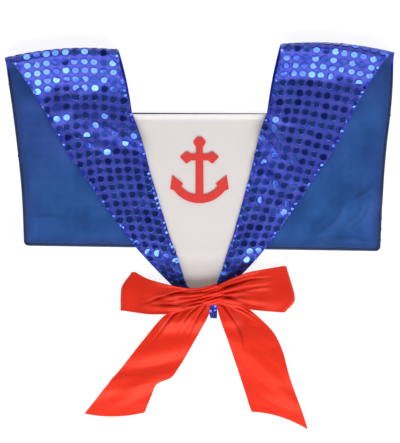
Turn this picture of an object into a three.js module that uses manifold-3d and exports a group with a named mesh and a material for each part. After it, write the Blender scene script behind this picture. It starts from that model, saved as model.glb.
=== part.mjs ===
// A sailor collar of sequinned cloth, laid flat: a square back flap with a plain lining, two lapels
// that turn over at the shoulders, a white front panel with an anchor, and a ribbon bow at the point.
// Lengths are in millimetres. +X is the right of the collar as laid, +Y points to the shoulders, +Z up.
import * as THREE from "three";
import { mergeVertices } from "three/addons/utils/BufferGeometryUtils.js";
import Module from "manifold-3d";

const { clamp, lerp, smoothstep, degToRad } = THREE.MathUtils;
const wasm = await Module();
wasm.setup();

// Sizes of the collar
const COLLAR_WIDTH = 389; // from one shoulder's outer end to the other's
const NECK_WIDTH = 161; // between the inner ends of the shoulders
const COLLAR_DEPTH = 205; // from the shoulder line to the hem of the back flap
const FRONT_LENGTH = 275; // from the shoulder line to the point of the front
const BACK_NECK_DROP = 70; // from the shoulder line to the back neckline
const BACK_NECK_WIDTH = 135; // of the back neckline
const FRONT_LEAN = 3; // how far to the right of the middle the point of the front is laid
const ROLL_HEIGHT = 26; // of the roll where the cloth turns over at a shoulder
const ROLL_CREST = 6; // from the shoulder line to the highest place of the roll
const ROLL_SLOPE = 35; // of the lapel where it comes down from the roll, in degrees
const LEFT_ROLL_RUN = 52; // from the shoulder line to where the left lapel lies flat
const RIGHT_ROLL_RUN = 38; // the same on the right, where the cloth comes down more steeply
const SHOULDER_FALL = 10; // how much lower a shoulder's outer end lies than its highest place
const LEFT_SHOULDER_DROP = 5.5; // how much lower the left shoulder is laid than the right one
const HEM_SLANT = 3; // how much lower than its middle the right end of the hem is laid
const HEM_CORNER = 5; // radius of the back flap's two lower corners
const LINING_INSET = 2; // from the flap's edge to the lining's
const CLOTH = 1.2; // thickness of the sequinned cloth
const LINING = 1; // thickness of the lining
const LAYER_GAP = 0.4; // clearance between two layers of cloth
const SEAM_GAP = 0.3; // clearance between two edges that are sewn together
const STEP_RUN = 15; // a layer comes down over the edge of the one below in this distance
const FLAP_FOLD_HEIGHT = 4; // of the highest wrinkle in the back flap
const LAPEL_FOLD_HEIGHT = 4.5; // of the highest wrinkle in a lapel

// Sizes of the front panel and its emblem
const PANEL_DROP = 71.5; // from the shoulder line to the panel's top edge
const PANEL_TUCK = 20; // how far above the point of the front the panel ends
const PANEL = 1.2; // thickness of the panel
const SEAM_ALLOWANCE = 8; // how far the panel goes on under a lapel's edge
const EMBLEM_THICKNESS = 1;
const EMBLEM_HEIGHT = 67.5;
const EMBLEM_DROP = 54.5; // from the panel's top edge to the middle of the anchor
const EMBLEM_GAP = 0.3; // clearance between the anchor and the panel

// Sizes of the bow
const RIBBON_WIDTH = 47;
const RIBBON = 1; // thickness of the ribbon
const BOW_RISE = 24; // from the point of the front up to the middle of the knot
const BOW_SIDE = 13.5; // how far to the right of the middle the knot is tied
const KNOT_WIDTH = 30;
const KNOT_LENGTH = 21; // of the knot along Y
const KNOT_HEIGHT = 13;
const KNOT_CREASE = 0.05; // depth of the creases in the knot, as a share of its size
const KNOT_CREASES = 4; // between the knot's upper and lower edges, each of them right across it
const KNOT_CREASE_RISE = 0.33; // of a crease from left to right, as a share of KNOT_LENGTH
const KNOT_FULLNESS = 0.12; // 0 is a plain ball, and more is squarer
const KNOT_GAP = 0.6; // clearance between the knot and the ribbon that goes into it
const LEFT_LOOP = 93; // from the middle of the knot to the loop's outer end
const RIGHT_LOOP = 82;
const LOOP_HEIGHT = 10; // between the middles of a loop's two layers where it is fullest
const LOOP_END_HEIGHT = 7; // between them at the loop's outer end
const LOOP_PLEAT = 1.3; // height of the pleats beside the knot
const LOOP_PLEATS = 2.5; // across the ribbon
const LOOP_ENTRY = 0.7; // how high up the knot a loop's upper layer goes in, as a share of KNOT_HEIGHT
const TAIL_DROP = 136; // from the middle of the knot to the lowest end of a tail
const TAIL_WAVE = 6; // height of the waves in a tail

// How finely the cloth is divided
const ROLL_ROWS = 5;
const SLOPE_ROWS = 5;
const LAPEL_ROWS = 19;
const LAPEL_COLUMNS = 9;
const NECK_ROWS = 5;
const FLAP_ROWS = 12;
const HEM_CROWDING = 1.5; // how strongly those rows crowd towards the hem, where the corners are round
const STRIP_COLUMNS = 7;
const MIDDLE_COLUMNS = 8;
const PANEL_ROWS = 14;
const PANEL_COLUMNS = 8;
const LOOP_ROWS = 9;
const LOOP_TURN_ROWS = 5;
const LOOP_COLUMNS = 10;
const TAIL_ROWS = 18;
const TAIL_COLUMNS = 6;
const KNOT_SEGMENTS = 20;
const KNOT_RINGS = 12;
const ARM_INNER_STEPS = 6;
const ARM_OUTER_STEPS = 9;

// Where the shoulder line is highest, as a share of the way from the neck to the outer end.
const SHOULDER_PEAK = 0.3;

// The lapels, from the shoulder line to above the bow. down is a share of FRONT_LENGTH, inner the
// edge's distance from the centre as a share of half NECK_WIDTH, width a share of the shoulder.
const LAPEL_SECTIONS = [
  { down: 0.0, inner: 1.0, width: 1.0 },
  { down: 0.03, inner: 0.994, width: 0.905 },
  { down: 0.07, inner: 0.975, width: 0.86 },
  { down: 0.12, inner: 0.93, width: 0.82 },
  { down: 0.17, inner: 0.9, width: 0.778 },
  { down: 0.23, inner: 0.848, width: 0.735 },
  { down: 0.28, inner: 0.782, width: 0.722 },
  { down: 0.34, inner: 0.72, width: 0.694 },
  { down: 0.4, inner: 0.67, width: 0.64 },
  { down: 0.46, inner: 0.622, width: 0.579 },
  { down: 0.52, inner: 0.563, width: 0.525 },
  { down: 0.58, inner: 0.508, width: 0.468 },
  { down: 0.64, inner: 0.447, width: 0.41 },
  { down: 0.7, inner: 0.387, width: 0.354 },
  { down: 0.76, inner: 0.314, width: 0.29 },
  { down: 0.82, inner: 0.25, width: 0.208 },
  { down: 0.88, inner: 0.18, width: 0.125 },
];

// The two sides. Only the left lapel goes all the way to the point, under the knot.
const LEFT = {
  name: "left",
  sign: -1,
  drop: LEFT_SHOULDER_DROP,
  rollRun: LEFT_ROLL_RUN,
  sections: [
    ...LAPEL_SECTIONS,
    { down: 0.935, inner: -0.19, width: 0.1 },
    { down: 1.0, inner: -0.195, width: 0.076 },
  ],
};
const RIGHT = {
  name: "right",
  sign: 1,
  drop: 0,
  rollRun: RIGHT_ROLL_RUN,
  sections: [...LAPEL_SECTIONS, { down: 0.94, inner: 0.17, width: 0.06 }],
};

// The outer edges of the back flap: down is a share of its depth, left and right of half COLLAR_WIDTH.
const FLAP_SECTIONS = [
  { down: 0.0, left: 1.0, right: 1.0 },
  { down: 0.12, left: 0.985, right: 0.998 },
  { down: 0.25, left: 0.967, right: 0.99 },
  { down: 0.5, left: 0.937, right: 0.962 },
  { down: 0.75, left: 0.914, right: 0.943 },
  { down: 1.0, left: 0.905, right: 0.932 },
];

// Wrinkles in the back flap and its lining. across is a share of half COLLAR_WIDTH, down of
// COLLAR_DEPTH, length and width of COLLAR_DEPTH too, rise of FLAP_FOLD_HEIGHT, turn in degrees.
const FLAP_FOLDS = [
  { across: 0.68, down: 0.86, turn: 52, length: 0.24, width: 0.07, rise: 0.9 },
  { across: 0.85, down: 0.78, turn: 40, length: 0.2, width: 0.08, rise: 0.7 },
  { across: -0.86, down: 0.62, turn: 84, length: 0.3, width: 0.06, rise: 0.5 },
];

// Wrinkles in the lapels. down is a share of FRONT_LENGTH, across goes from the inner edge, 0, to the
// outer edge, 1. length and width are shares of the shoulder, rise of LAPEL_FOLD_HEIGHT.
const LAPEL_FOLDS = {
  left: [
    { down: 0.29, across: 0.35, turn: -24, length: 0.75, width: 0.13, rise: 1.0 },
    { down: 0.22, across: 0.75, turn: -38, length: 0.5, width: 0.12, rise: 0.7 },
    { down: 0.7, across: 0.45, turn: -50, length: 0.5, width: 0.12, rise: 0.5 },
  ],
  right: [
    { down: 0.34, across: 0.12, turn: -56, length: 0.75, width: 0.13, rise: 1.0 },
    { down: 0.5, across: 0.3, turn: -60, length: 0.45, width: 0.1, rise: 0.6 },
    { down: 0.74, across: 0.5, turn: 60, length: 0.45, width: 0.12, rise: 0.5 },
  ],
};

// The loops, from the knot outwards. out is a share of the loop's length, upper and lower the edges'
// distances above and below the middle of the knot as shares of RIBBON_WIDTH.
const LOOP_SECTIONS = {
  left: [
    { out: 0.06, upper: 0.15, lower: 0.18 },
    { out: 0.27, upper: 0.135, lower: 0.3 },
    { out: 0.5, upper: 0.19, lower: 0.405 },
    { out: 0.68, upper: 0.257, lower: 0.42 },
    { out: 0.85, upper: 0.342, lower: 0.388 },
    { out: 1.0, upper: 0.477, lower: 0.345 },
  ],
  right: [
    { out: 0.06, upper: 0.2, lower: 0.18 },
    { out: 0.23, upper: 0.32, lower: 0.255 },
    { out: 0.36, upper: 0.4, lower: 0.285 },
    { out: 0.5, upper: 0.474, lower: 0.31 },
    { out: 0.68, upper: 0.525, lower: 0.34 },
    { out: 1.0, upper: 0.605, lower: 0.38 },
  ],
};

// The slanting outer end of each loop: reach is a share of the loop's length, across goes from its
// upper edge, 0, to its lower edge, 1.
const LOOP_ENDS = {
  left: [
    { across: 0.0, reach: 0.88 },
    { across: 0.45, reach: 0.99 },
    { across: 1.0, reach: 1.0 },
  ],
  right: [
    { across: 0.0, reach: 0.9 },
    { across: 0.72, reach: 1.0 },
    { across: 1.0, reach: 0.88 },
  ],
};

// The tails, from the knot to their cut ends. across and down are the middle of a section from the
// middle of the knot as shares of TAIL_DROP, width a share of RIBBON_WIDTH, tilt how far its right
// end is turned down in degrees, lift a share of TAIL_WAVE.
const TAIL_SECTIONS = {
  left: [
    { across: -0.06, down: 0.035, width: 0.3, tilt: 4, lift: 0 },
    { across: -0.121, down: 0.092, width: 0.575, tilt: 2, lift: 0 },
    { across: -0.191, down: 0.154, width: 0.895, tilt: 3, lift: 0.05 },
    { across: -0.324, down: 0.338, width: 1.106, tilt: 0, lift: 0.3 },
    { across: -0.458, down: 0.533, width: 1.234, tilt: -1, lift: 0.2 },
    { across: -0.518, down: 0.608, width: 1.25, tilt: 0, lift: 0.55 },
    { across: -0.601, down: 0.669, width: 1.074, tilt: -2, lift: 0.5 },
    { across: -0.654, down: 0.757, width: 1.138, tilt: 0, lift: 0.1 },
    { across: -0.726, down: 0.875, width: 1.287, tilt: -1, lift: 0 },
  ],
  right: [
    { across: 0.06, down: 0.035, width: 0.3, tilt: -4, lift: 0 },
    { across: 0.132, down: 0.092, width: 0.596, tilt: -2, lift: 0 },
    { across: 0.195, down: 0.173, width: 0.83, tilt: -1.5, lift: 0.05 },
    { across: 0.276, down: 0.298, width: 1.043, tilt: -1, lift: 0.25 },
    { across: 0.327, down: 0.423, width: 1.085, tilt: -1, lift: 0.8 },
    { across: 0.381, down: 0.603, width: 1.053, tilt: 0, lift: 0.4 },
    { across: 0.426, down: 0.735, width: 1.064, tilt: 0, lift: 0.1 },
    { across: 0.493, down: 0.932, width: 1.249, tilt: 17.4, lift: 0 },
  ],
};
// How far the middle of a tail's cut end stands out, as a share of RIBBON_WIDTH.
const TAIL_END_BULGE = { left: 0.075, right: -0.085 };

// The right half of the anchor's outline above its arms, from the top down, as shares of
// EMBLEM_HEIGHT from the anchor's middle: a lobed head, then the stock and its pointed end.
const ANCHOR_HEAD = [
  { out: 0.03, up: 0.49 },
  { out: 0.097, up: 0.411 },
  { out: 0.049, up: 0.33 },
  { out: 0.049, up: 0.235 },
  { out: 0.126, up: 0.237 },
  { out: 0.193, up: 0.273 },
  { out: 0.29, up: 0.187 },
  { out: 0.193, up: 0.084 },
  { out: 0.126, up: 0.135 },
  { out: 0.056, up: 0.135 },
];
// The fluke at the end of an arm, from the arm's inner side round to its outer side.
const ANCHOR_FLUKE = [
  { out: 0.237, up: -0.213 },
  { out: 0.403, up: -0.077 },
  { out: 0.433, up: -0.29 },
];
// The arms: two arcs about one centre, with the radius of each and how far out it starts and ends.
const ANCHOR_ARM_CENTRE = -0.03;
const ANCHOR_ARM = {
  inner: { radius: 0.345, start: 0.06, end: 0.27 },
  outer: { radius: 0.47, start: 0.03, end: 0.376 },
};

const collar = new THREE.Group();
const halfWidth = COLLAR_WIDTH / 2;
const neckHalf = NECK_WIDTH / 2;
const shoulder = halfWidth - neckHalf;
const rollRadius = (ROLL_HEIGHT - CLOTH) / 2;
const flapStack = CLOTH + LAYER_GAP + LINING;

// One column of a table at a place along its key column, on a smooth curve that never overshoots.
function readTable(table, key, column, at) {
  const steps = table.slice(1).map((row, i) => (row[column] - table[i][column]) / (row[key] - table[i][key]));
  const slopes = table.map((row, i) => {
    if (i === 0 || i === steps.length) return steps[Math.min(i, steps.length - 1)];
    const product = steps[i - 1] * steps[i];
    return product > 0 ? (2 * product) / (steps[i - 1] + steps[i]) : 0;
  });
  const place = clamp(at, table[0][key], table.at(-1)[key]);
  const i = clamp(table.findIndex((row) => row[key] >= place) - 1, 0, steps.length - 1);
  const span = table[i + 1][key] - table[i][key];
  const t = (place - table[i][key]) / span;
  const start = table[i][column] * (1 + 2 * t) * (1 - t) ** 2 + span * slopes[i] * t * (1 - t) ** 2;
  const end = table[i + 1][column] * (3 - 2 * t) * t ** 2 - span * slopes[i + 1] * (1 - t) * t ** 2;
  return start + end;
}

// A closed wall of cloth round a grid of points in its middle. hasCell leaves cells of the grid out.
function clothGeometry(rows, columns, pointAt, thickness, hasCell = () => true) {
  const inGrid = (i, j) => i >= 0 && j >= 0 && i < rows && j < columns && hasCell(i, j);
  const key = (i, j) => i * (columns + 1) + j;
  const points = new Map();
  const place = (i, j) => {
    if (!points.has(key(i, j))) points.set(key(i, j), pointAt(i, j));
    return points.get(key(i, j));
  };
  const normals = new Map();
  const cells = [];
  for (let i = 0; i < rows; i++) {
    for (let j = 0; j < columns; j++) {
      if (!inGrid(i, j)) continue;
      const corners = [[i, j], [i, j + 1], [i + 1, j + 1], [i + 1, j]];
      const [a, b, c, d] = corners.map(([row, column]) => place(row, column));
      const normal = new THREE.Vector3().crossVectors(c.clone().sub(a), d.clone().sub(b));
      for (const [row, column] of corners) {
        const sum = normals.get(key(row, column)) ?? new THREE.Vector3();
        normals.set(key(row, column), sum.add(normal));
      }
      cells.push({ i, j, corners });
    }
  }
  const positions = [];
  const index = new Map();
  for (const [id, normal] of normals) {
    const middle = points.get(id);
    normal.setLength(thickness / 2);
    index.set(id, positions.length / 3);
    positions.push(...middle.clone().add(normal).toArray(), ...middle.clone().sub(normal).toArray());
  }
  const triangles = [];
  for (const { i, j, corners } of cells) {
    const [a, b, c, d] = corners.map(([row, column]) => index.get(key(row, column)));
    triangles.push(a, b, c, a, c, d);
    triangles.push(a + 1, c + 1, b + 1, a + 1, d + 1, c + 1);
    const sides = [
      { from: a, to: b, next: [i - 1, j] },
      { from: b, to: c, next: [i, j + 1] },
      { from: c, to: d, next: [i + 1, j] },
      { from: d, to: a, next: [i, j - 1] },
    ];
    for (const { from, to, next } of sides) {
      if (inGrid(...next)) continue;
      triangles.push(to, from, from + 1, to, from + 1, to + 1);
    }
  }
  const geometry = new THREE.BufferGeometry();
  geometry.setAttribute("position", new THREE.Float32BufferAttribute(positions, 3));
  geometry.setIndex(triangles);
  geometry.computeVertexNormals();
  return geometry;
}

function toSolid(geometry) {
  const bare = new THREE.BufferGeometry();
  bare.setAttribute("position", geometry.getAttribute("position"));
  bare.setIndex(geometry.index);
  const merged = mergeVertices(bare, 1e-4);
  return new wasm.Manifold(
    new wasm.Mesh({
      numProp: 3,
      vertProperties: merged.attributes.position.array,
      triVerts: new Uint32Array(merged.index.array),
    }),
  );
}

function toGeometry(solid) {
  const mesh = solid.getMesh();
  const geometry = new THREE.BufferGeometry();
  geometry.setAttribute("position", new THREE.BufferAttribute(mesh.vertProperties, 3));
  geometry.setIndex(new THREE.BufferAttribute(mesh.triVerts, 1));
  geometry.computeVertexNormals();
  return geometry;
}

function addPiece(name, geometry, finish) {
  const mesh = new THREE.Mesh(geometry, new THREE.MeshStandardMaterial(finish));
  mesh.name = name;
  collar.add(mesh);
}

const SEQUINS = { color: 0x24309a, roughness: 0.3, metalness: 0.5 };
const LINING_CLOTH = { color: 0x2f5796, roughness: 0.6, metalness: 0 };
const WHITE_CLOTH = { color: 0xe6e2e0, roughness: 0.85, metalness: 0 };
const RED_FELT = { color: 0xd2403c, roughness: 0.8, metalness: 0 };
const SATIN = { color: 0xe63a26, roughness: 0.4, metalness: 0 };

// How far below the shoulder line the fold lies, from the neck end, 0, to the outer end, 1.
function foldDown(side, across) {
  return side.drop + SHOULDER_FALL * ((across - SHOULDER_PEAK) / (1 - SHOULDER_PEAK)) ** 2;
}

// How far below the shoulder line the hem of the back flap lies.
function hemDown(x) {
  return COLLAR_DEPTH + (HEM_SLANT * x) / halfWidth;
}

// A lapel's width and its place across, from its inner edge, 0, to its outer edge, 1, at a run from
// the fold.
function lapelWidth(side, run) {
  return shoulder * readTable(side.sections, "down", "width", run / FRONT_LENGTH);
}

function lapelX(side, run, across) {
  const inner = neckHalf * readTable(side.sections, "down", "inner", run / FRONT_LENGTH);
  return side.sign * (inner + across * lapelWidth(side, run)) + (FRONT_LEAN * run) / FRONT_LENGTH;
}

// The run from the fold to a place that is given by its distance below the shoulder line.
function runAt(side, down, across) {
  const fold = foldDown(side, across);
  return (down - fold) / (1 - fold / FRONT_LENGTH);
}

// A wrinkle's height at a distance from its middle: a long low mound, and 0 outside it.
function mound(dx, dDown, turn, length, width) {
  const angle = degToRad(turn);
  const along = dx * Math.cos(angle) - dDown * Math.sin(angle);
  const aside = dx * Math.sin(angle) + dDown * Math.cos(angle);
  const square = (along / length) ** 2 + (aside / width) ** 2;
  return square < 1 ? (1 - square) ** 2 : 0;
}

function flapLift(x, down) {
  const heights = FLAP_FOLDS.map((fold) => {
    const dx = x - fold.across * halfWidth;
    const dDown = down - fold.down * COLLAR_DEPTH;
    const size = [fold.length * COLLAR_DEPTH, fold.width * COLLAR_DEPTH];
    return FLAP_FOLD_HEIGHT * fold.rise * mound(dx, dDown, fold.turn, ...size);
  });
  return Math.max(...heights);
}

// The height of the lined back flap under a layer that lies on it, down to the floor past its hem.
function underlay(x, down) {
  const edge = hemDown(x) + CLOTH;
  return (flapStack + flapLift(x, down)) * (1 - smoothstep(down, edge, edge + STEP_RUN));
}

function panelTop(x, down) {
  return underlay(x, down) + LAYER_GAP + PANEL;
}

// How much of the front lies under the bow at a place: 1 on the panel and lapels, 0 beside them.
function frontCover(x, down) {
  const run = clamp(down, 0, FRONT_LENGTH);
  const side = x < 0 ? LEFT : RIGHT;
  const reach = Math.max(side.sign * lapelX(side, run, 1), KNOT_WIDTH) + CLOTH;
  const end = FRONT_LENGTH + CLOTH;
  const beside = smoothstep(Math.abs(x), reach, reach + STEP_RUN);
  return (1 - beside) * (1 - smoothstep(down, end, end + STEP_RUN));
}

// The lowest height at which the ribbon clears the front, down to the floor beside it.
function bowFloor(x, down) {
  const front = PANEL + CLOTH + 3 * LAYER_GAP;
  return underlay(x, down) + front * frontCover(x, down);
}

// The rows that turn over at a shoulder. The back flap comes up in a quarter of a circle to the seam at
// the middle of the roll's height. The lapel goes on over the crest and starts down its slope.
const seamAngle = SEAM_GAP / 2 / rollRadius;
const anglesTo = (end) => Array.from({ length: ROLL_ROWS }, (_, i) => lerp(seamAngle, end, i / ROLL_ROWS));
const rollSteepness = Math.tan(degToRad(ROLL_SLOPE));
const slopeTurn = Math.atan((rollSteepness * ROLL_CREST) / rollRadius);
const slopeStart = ROLL_CREST * (1 + Math.sin(slopeTurn));
const flapAngles = anglesTo(Math.PI / 2);
const lapelAngles = anglesTo(Math.PI / 2 + slopeTurn);

// The height of a lapel past the crest: down the slope, and smoothly to the height at which it rests.
function slopeHeight(side, run, rest) {
  const length = side.rollRun - slopeStart;
  const t = clamp((run - slopeStart) / length, 0, 1);
  const start = ROLL_HEIGHT / 2 + rollRadius * Math.cos(slopeTurn);
  const steep = rollSteepness * length * t * (1 - t) ** 2;
  return start * (1 + 2 * t) * (1 - t) ** 2 - steep + rest * (3 - 2 * t) * t ** 2;
}

// The back flap and its lining. offset is the layer's distance inwards from the middle of the cloth,
// inset how far its edges lie inside the flap's.
function flapGeometry(offset, inset, thickness) {
  const radius = rollRadius - offset;
  const neckRow = ROLL_ROWS + NECK_ROWS;
  const columns = 2 * STRIP_COLUMNS + MIDDLE_COLUMNS;
  const isMiddle = (j) => j >= STRIP_COLUMNS && j <= columns - STRIP_COLUMNS;

  // The share of the way from the fold to the hem, for a row of the grid.
  const shareAt = (i, neckShare) => {
    if (i < ROLL_ROWS) return (rollRadius - radius * Math.cos(flapAngles[i])) / COLLAR_DEPTH;
    if (i <= neckRow) return lerp(rollRadius / COLLAR_DEPTH, neckShare, (i - ROLL_ROWS) / NECK_ROWS);
    return lerp(1, neckShare, (1 - (i - neckRow) / FLAP_ROWS) ** HEM_CROWDING);
  };

  const pointAt = (i, j) => {
    const side = j < columns / 2 ? LEFT : RIGHT;
    const fromEdge = Math.min(j, columns - j);
    const across = 1 - Math.min(fromEdge / STRIP_COLUMNS, 1);
    const middleShare = clamp((j - STRIP_COLUMNS) / MIDDLE_COLUMNS, 0, 1);
    const neckFold = lerp(foldDown(LEFT, 0), foldDown(RIGHT, 0), middleShare);
    const neckShare = (BACK_NECK_DROP - neckFold) / (COLLAR_DEPTH - neckFold);
    const share = shareAt(i, neckShare);
    // The lower corners are rounded by drawing the side edges in over the last rows.
    const toCorner = Math.min((1 - share) * COLLAR_DEPTH, HEM_CORNER);
    const corner = HEM_CORNER - Math.sqrt(HEM_CORNER ** 2 - (HEM_CORNER - toCorner) ** 2);
    const outer = halfWidth * readTable(FLAP_SECTIONS, "down", side.name, share) - inset - corner;
    const neck = lerp(NECK_WIDTH, BACK_NECK_WIDTH, Math.min(share / neckShare, 1)) / 2 + inset;
    const x = isMiddle(j) ? lerp(-neck, neck, middleShare) : side.sign * lerp(neck, outer, across);
    const fold = isMiddle(j) ? neckFold : foldDown(side, across);
    const neckInset = i === neckRow && isMiddle(j) ? inset : 0;
    const down = lerp(fold, hemDown(x) - inset, share) + neckInset;
    const flat = CLOTH / 2 + offset + flapLift(x, down);
    const z = i < ROLL_ROWS ? ROLL_HEIGHT / 2 - radius * Math.sin(flapAngles[i]) : flat;
    return new THREE.Vector3(x, -down, z);
  };
  const hasCell = (i, j) => i >= neckRow || j < STRIP_COLUMNS || j >= columns - STRIP_COLUMNS;
  const rows = neckRow + FLAP_ROWS;
  return clothGeometry(rows, columns, (i, j) => pointAt(i, columns - j), thickness, hasCell);
}

// A lapel, from the seam over the roll and down to the point of the front.
function lapelGeometry(side, folds) {
  const reach = side.sections.at(-1).down * FRONT_LENGTH;
  const slopeEnd = ROLL_ROWS + SLOPE_ROWS;
  const rows = slopeEnd + LAPEL_ROWS;

  const heightAt = (x, down, run, across) => {
    const fromInner = across * lapelWidth(side, run);
    const nearPanel = 1 - smoothstep(fromInner, SEAM_ALLOWANCE, SEAM_ALLOWANCE + STEP_RUN);
    const rest = underlay(x, down) + LAYER_GAP + CLOTH / 2 + nearPanel * (PANEL + LAYER_GAP);
    const wrinkles = folds.map((fold) => {
      const middle = fold.down * FRONT_LENGTH;
      const foldX = lapelX(side, middle, fold.across);
      const size = [fold.length * shoulder, fold.width * shoulder];
      return LAPEL_FOLD_HEIGHT * fold.rise * mound(x - foldX, run - middle, fold.turn, ...size);
    });
    return slopeHeight(side, run, rest) + Math.max(...wrinkles);
  };

  const runAtRow = (i) => {
    if (i < ROLL_ROWS) return ROLL_CREST * (1 - Math.cos(lapelAngles[i]));
    if (i < slopeEnd) return lerp(slopeStart, side.rollRun, (i - ROLL_ROWS) / SLOPE_ROWS);
    return lerp(side.rollRun, reach, (i - slopeEnd) / LAPEL_ROWS);
  };

  const pointAt = (i, j) => {
    const across = j / LAPEL_COLUMNS;
    const run = runAtRow(i);
    const x = lapelX(side, run, across);
    const down = run + foldDown(side, across) * (1 - run / FRONT_LENGTH);
    const rolled = ROLL_HEIGHT / 2 + rollRadius * Math.sin(lapelAngles[i]);
    return new THREE.Vector3(x, -down, i < ROLL_ROWS ? rolled : heightAt(x, down, run, across));
  };
  // Columns run from right to left on both sides, so that the outer face of the cloth is above.
  const column = (j) => (side.sign > 0 ? LAPEL_COLUMNS - j : j);
  return clothGeometry(rows, LAPEL_COLUMNS, (i, j) => pointAt(i, column(j)), CLOTH);
}

// The front panel, sewn under the inner edges of the lapels.
function panelGeometry() {
  const pointAt = (i, j) => {
    const down = lerp(PANEL_DROP, FRONT_LENGTH - PANEL_TUCK, i / PANEL_ROWS);
    const left = lapelX(LEFT, runAt(LEFT, down, 0), 0) - SEAM_ALLOWANCE;
    const right = lapelX(RIGHT, runAt(RIGHT, down, 0), 0) + SEAM_ALLOWANCE;
    const x = lerp(right, left, j / PANEL_COLUMNS);
    return new THREE.Vector3(x, -down, panelTop(x, down) - PANEL / 2);
  };
  return clothGeometry(PANEL_ROWS, PANEL_COLUMNS, pointAt, PANEL);
}

// The anchor: half of its outline, from the head down to the middle of the arms, and its mirror image.
function anchorGeometry() {
  const { inner, outer } = ANCHOR_ARM;
  const arc = (radius, from, to, steps) =>
    Array.from({ length: steps }, (_, i) => {
      const out = lerp(from, to, i / (steps - 1));
      return { out, up: ANCHOR_ARM_CENTRE - Math.sqrt(radius ** 2 - out ** 2) };
    });
  const half = [
    ...ANCHOR_HEAD,
    ...arc(inner.radius, inner.start, inner.end, ARM_INNER_STEPS),
    ...ANCHOR_FLUKE,
    ...arc(outer.radius, outer.end, outer.start, ARM_OUTER_STEPS),
  ];
  const mirrored = half.map(({ out, up }) => ({ out: -out, up })).reverse();
  const outline = [...half, ...mirrored].map(({ out, up }) => new THREE.Vector2(out, up));
  const shape = new THREE.Shape(outline.map((point) => point.multiplyScalar(EMBLEM_HEIGHT)));
  const geometry = new THREE.ExtrudeGeometry(shape, { depth: EMBLEM_THICKNESS, bevelEnabled: false });
  geometry.deleteAttribute("normal");
  geometry.deleteAttribute("uv");
  return mergeVertices(geometry, 1e-4);
}

const knotDown = FRONT_LENGTH - BOW_RISE;
const knotBottom = bowFloor(BOW_SIDE, knotDown);

// The knot: a flattened ball with creases where the ribbon wraps round it.
function knotGeometry(grow) {
  const geometry = new THREE.SphereGeometry(1, KNOT_SEGMENTS, KNOT_RINGS);
  geometry.deleteAttribute("normal");
  geometry.deleteAttribute("uv");
  const merged = mergeVertices(geometry, 1e-4);
  const places = merged.attributes.position;
  for (let i = 0; i < places.count; i++) {
    const [x, y, z] = [places.getX(i), places.getY(i), places.getZ(i)];
    const phase = KNOT_CREASES * Math.PI * (y - KNOT_CREASE_RISE * x);
    const crease = 1 + KNOT_CREASE * Math.cos(phase) * (1 - z ** 2) ** 0.5;
    const fullness = crease * (x ** 4 + y ** 4 + z ** 4) ** -KNOT_FULLNESS;
    places.setXYZ(
      i,
      BOW_SIDE + x * fullness * (KNOT_WIDTH / 2 + grow),
      -knotDown + y * fullness * (KNOT_LENGTH / 2 + grow),
      knotBottom + KNOT_HEIGHT / 2 + z * (KNOT_HEIGHT / 2 + grow),
    );
  }
  return merged;
}

// A ribbon's end is cut to the knot with a clearance all round it.
const knotRoom = toSolid(knotGeometry(KNOT_GAP));
const cutAtKnot = (geometry) => toGeometry(toSolid(geometry).subtract(knotRoom));

// A loop: out from the knot on the lower layer, round its end, and back on the upper layer.
function loopGeometry(sign, length, sections, ends) {
  const rows = 2 * LOOP_ROWS + LOOP_TURN_ROWS;
  const start = sections[0].out;
  const lowerMiddle = (x, down) => {
    const overTail = 1 - smoothstep(Math.abs(x - BOW_SIDE), RIBBON_WIDTH, RIBBON_WIDTH + 2 * STEP_RUN);
    return bowFloor(x, down) + (RIBBON + LAYER_GAP) * overTail + RIBBON / 2 + LAYER_GAP;
  };
  const layerAt = (t, j, upper) => {
    const across = j / LOOP_COLUMNS;
    const out = lerp(start, 1, t);
    const edges = [readTable(sections, "out", "upper", out), -readTable(sections, "out", "lower", out)];
    const down = knotDown - RIBBON_WIDTH * lerp(edges[0], edges[1], across);
    const reach = readTable(ends, "across", "reach", across) * length - LOOP_END_HEIGHT / 2 - RIBBON / 2;
    const x = BOW_SIDE + sign * lerp(start * length, reach, t);
    const lower = lowerMiddle(x, down);
    const knotSide = knotBottom + LOOP_ENTRY * KNOT_HEIGHT;
    const outside = lower + lerp(LOOP_HEIGHT, LOOP_END_HEIGHT, smoothstep(t, 0.6, 1));
    const pleat = LOOP_PLEAT * Math.cos(2 * Math.PI * LOOP_PLEATS * across) * (1 - smoothstep(t, 0.15, 0.85));
    const higher = lerp(knotSide, outside, smoothstep(t, 0, 0.5)) + pleat;
    return new THREE.Vector3(x, -down, upper ? higher : lower);
  };
  const pointAt = (i, j) => {
    if (i <= LOOP_ROWS) return layerAt(i / LOOP_ROWS, j, false);
    if (i >= LOOP_ROWS + LOOP_TURN_ROWS) return layerAt((rows - i) / LOOP_ROWS, j, true);
    const below = layerAt(1, j, false);
    const above = layerAt(1, j, true);
    const angle = Math.PI * ((i - LOOP_ROWS) / LOOP_TURN_ROWS);
    const radius = (above.z - below.z) / 2;
    const out = sign * radius * Math.sin(angle);
    return new THREE.Vector3(below.x + out, below.y, (above.z + below.z) / 2 - radius * Math.cos(angle));
  };
  const column = (j) => (sign > 0 ? j : LOOP_COLUMNS - j);
  return clothGeometry(rows, LOOP_COLUMNS, (i, j) => pointAt(i, column(j)), RIBBON);
}

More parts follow.
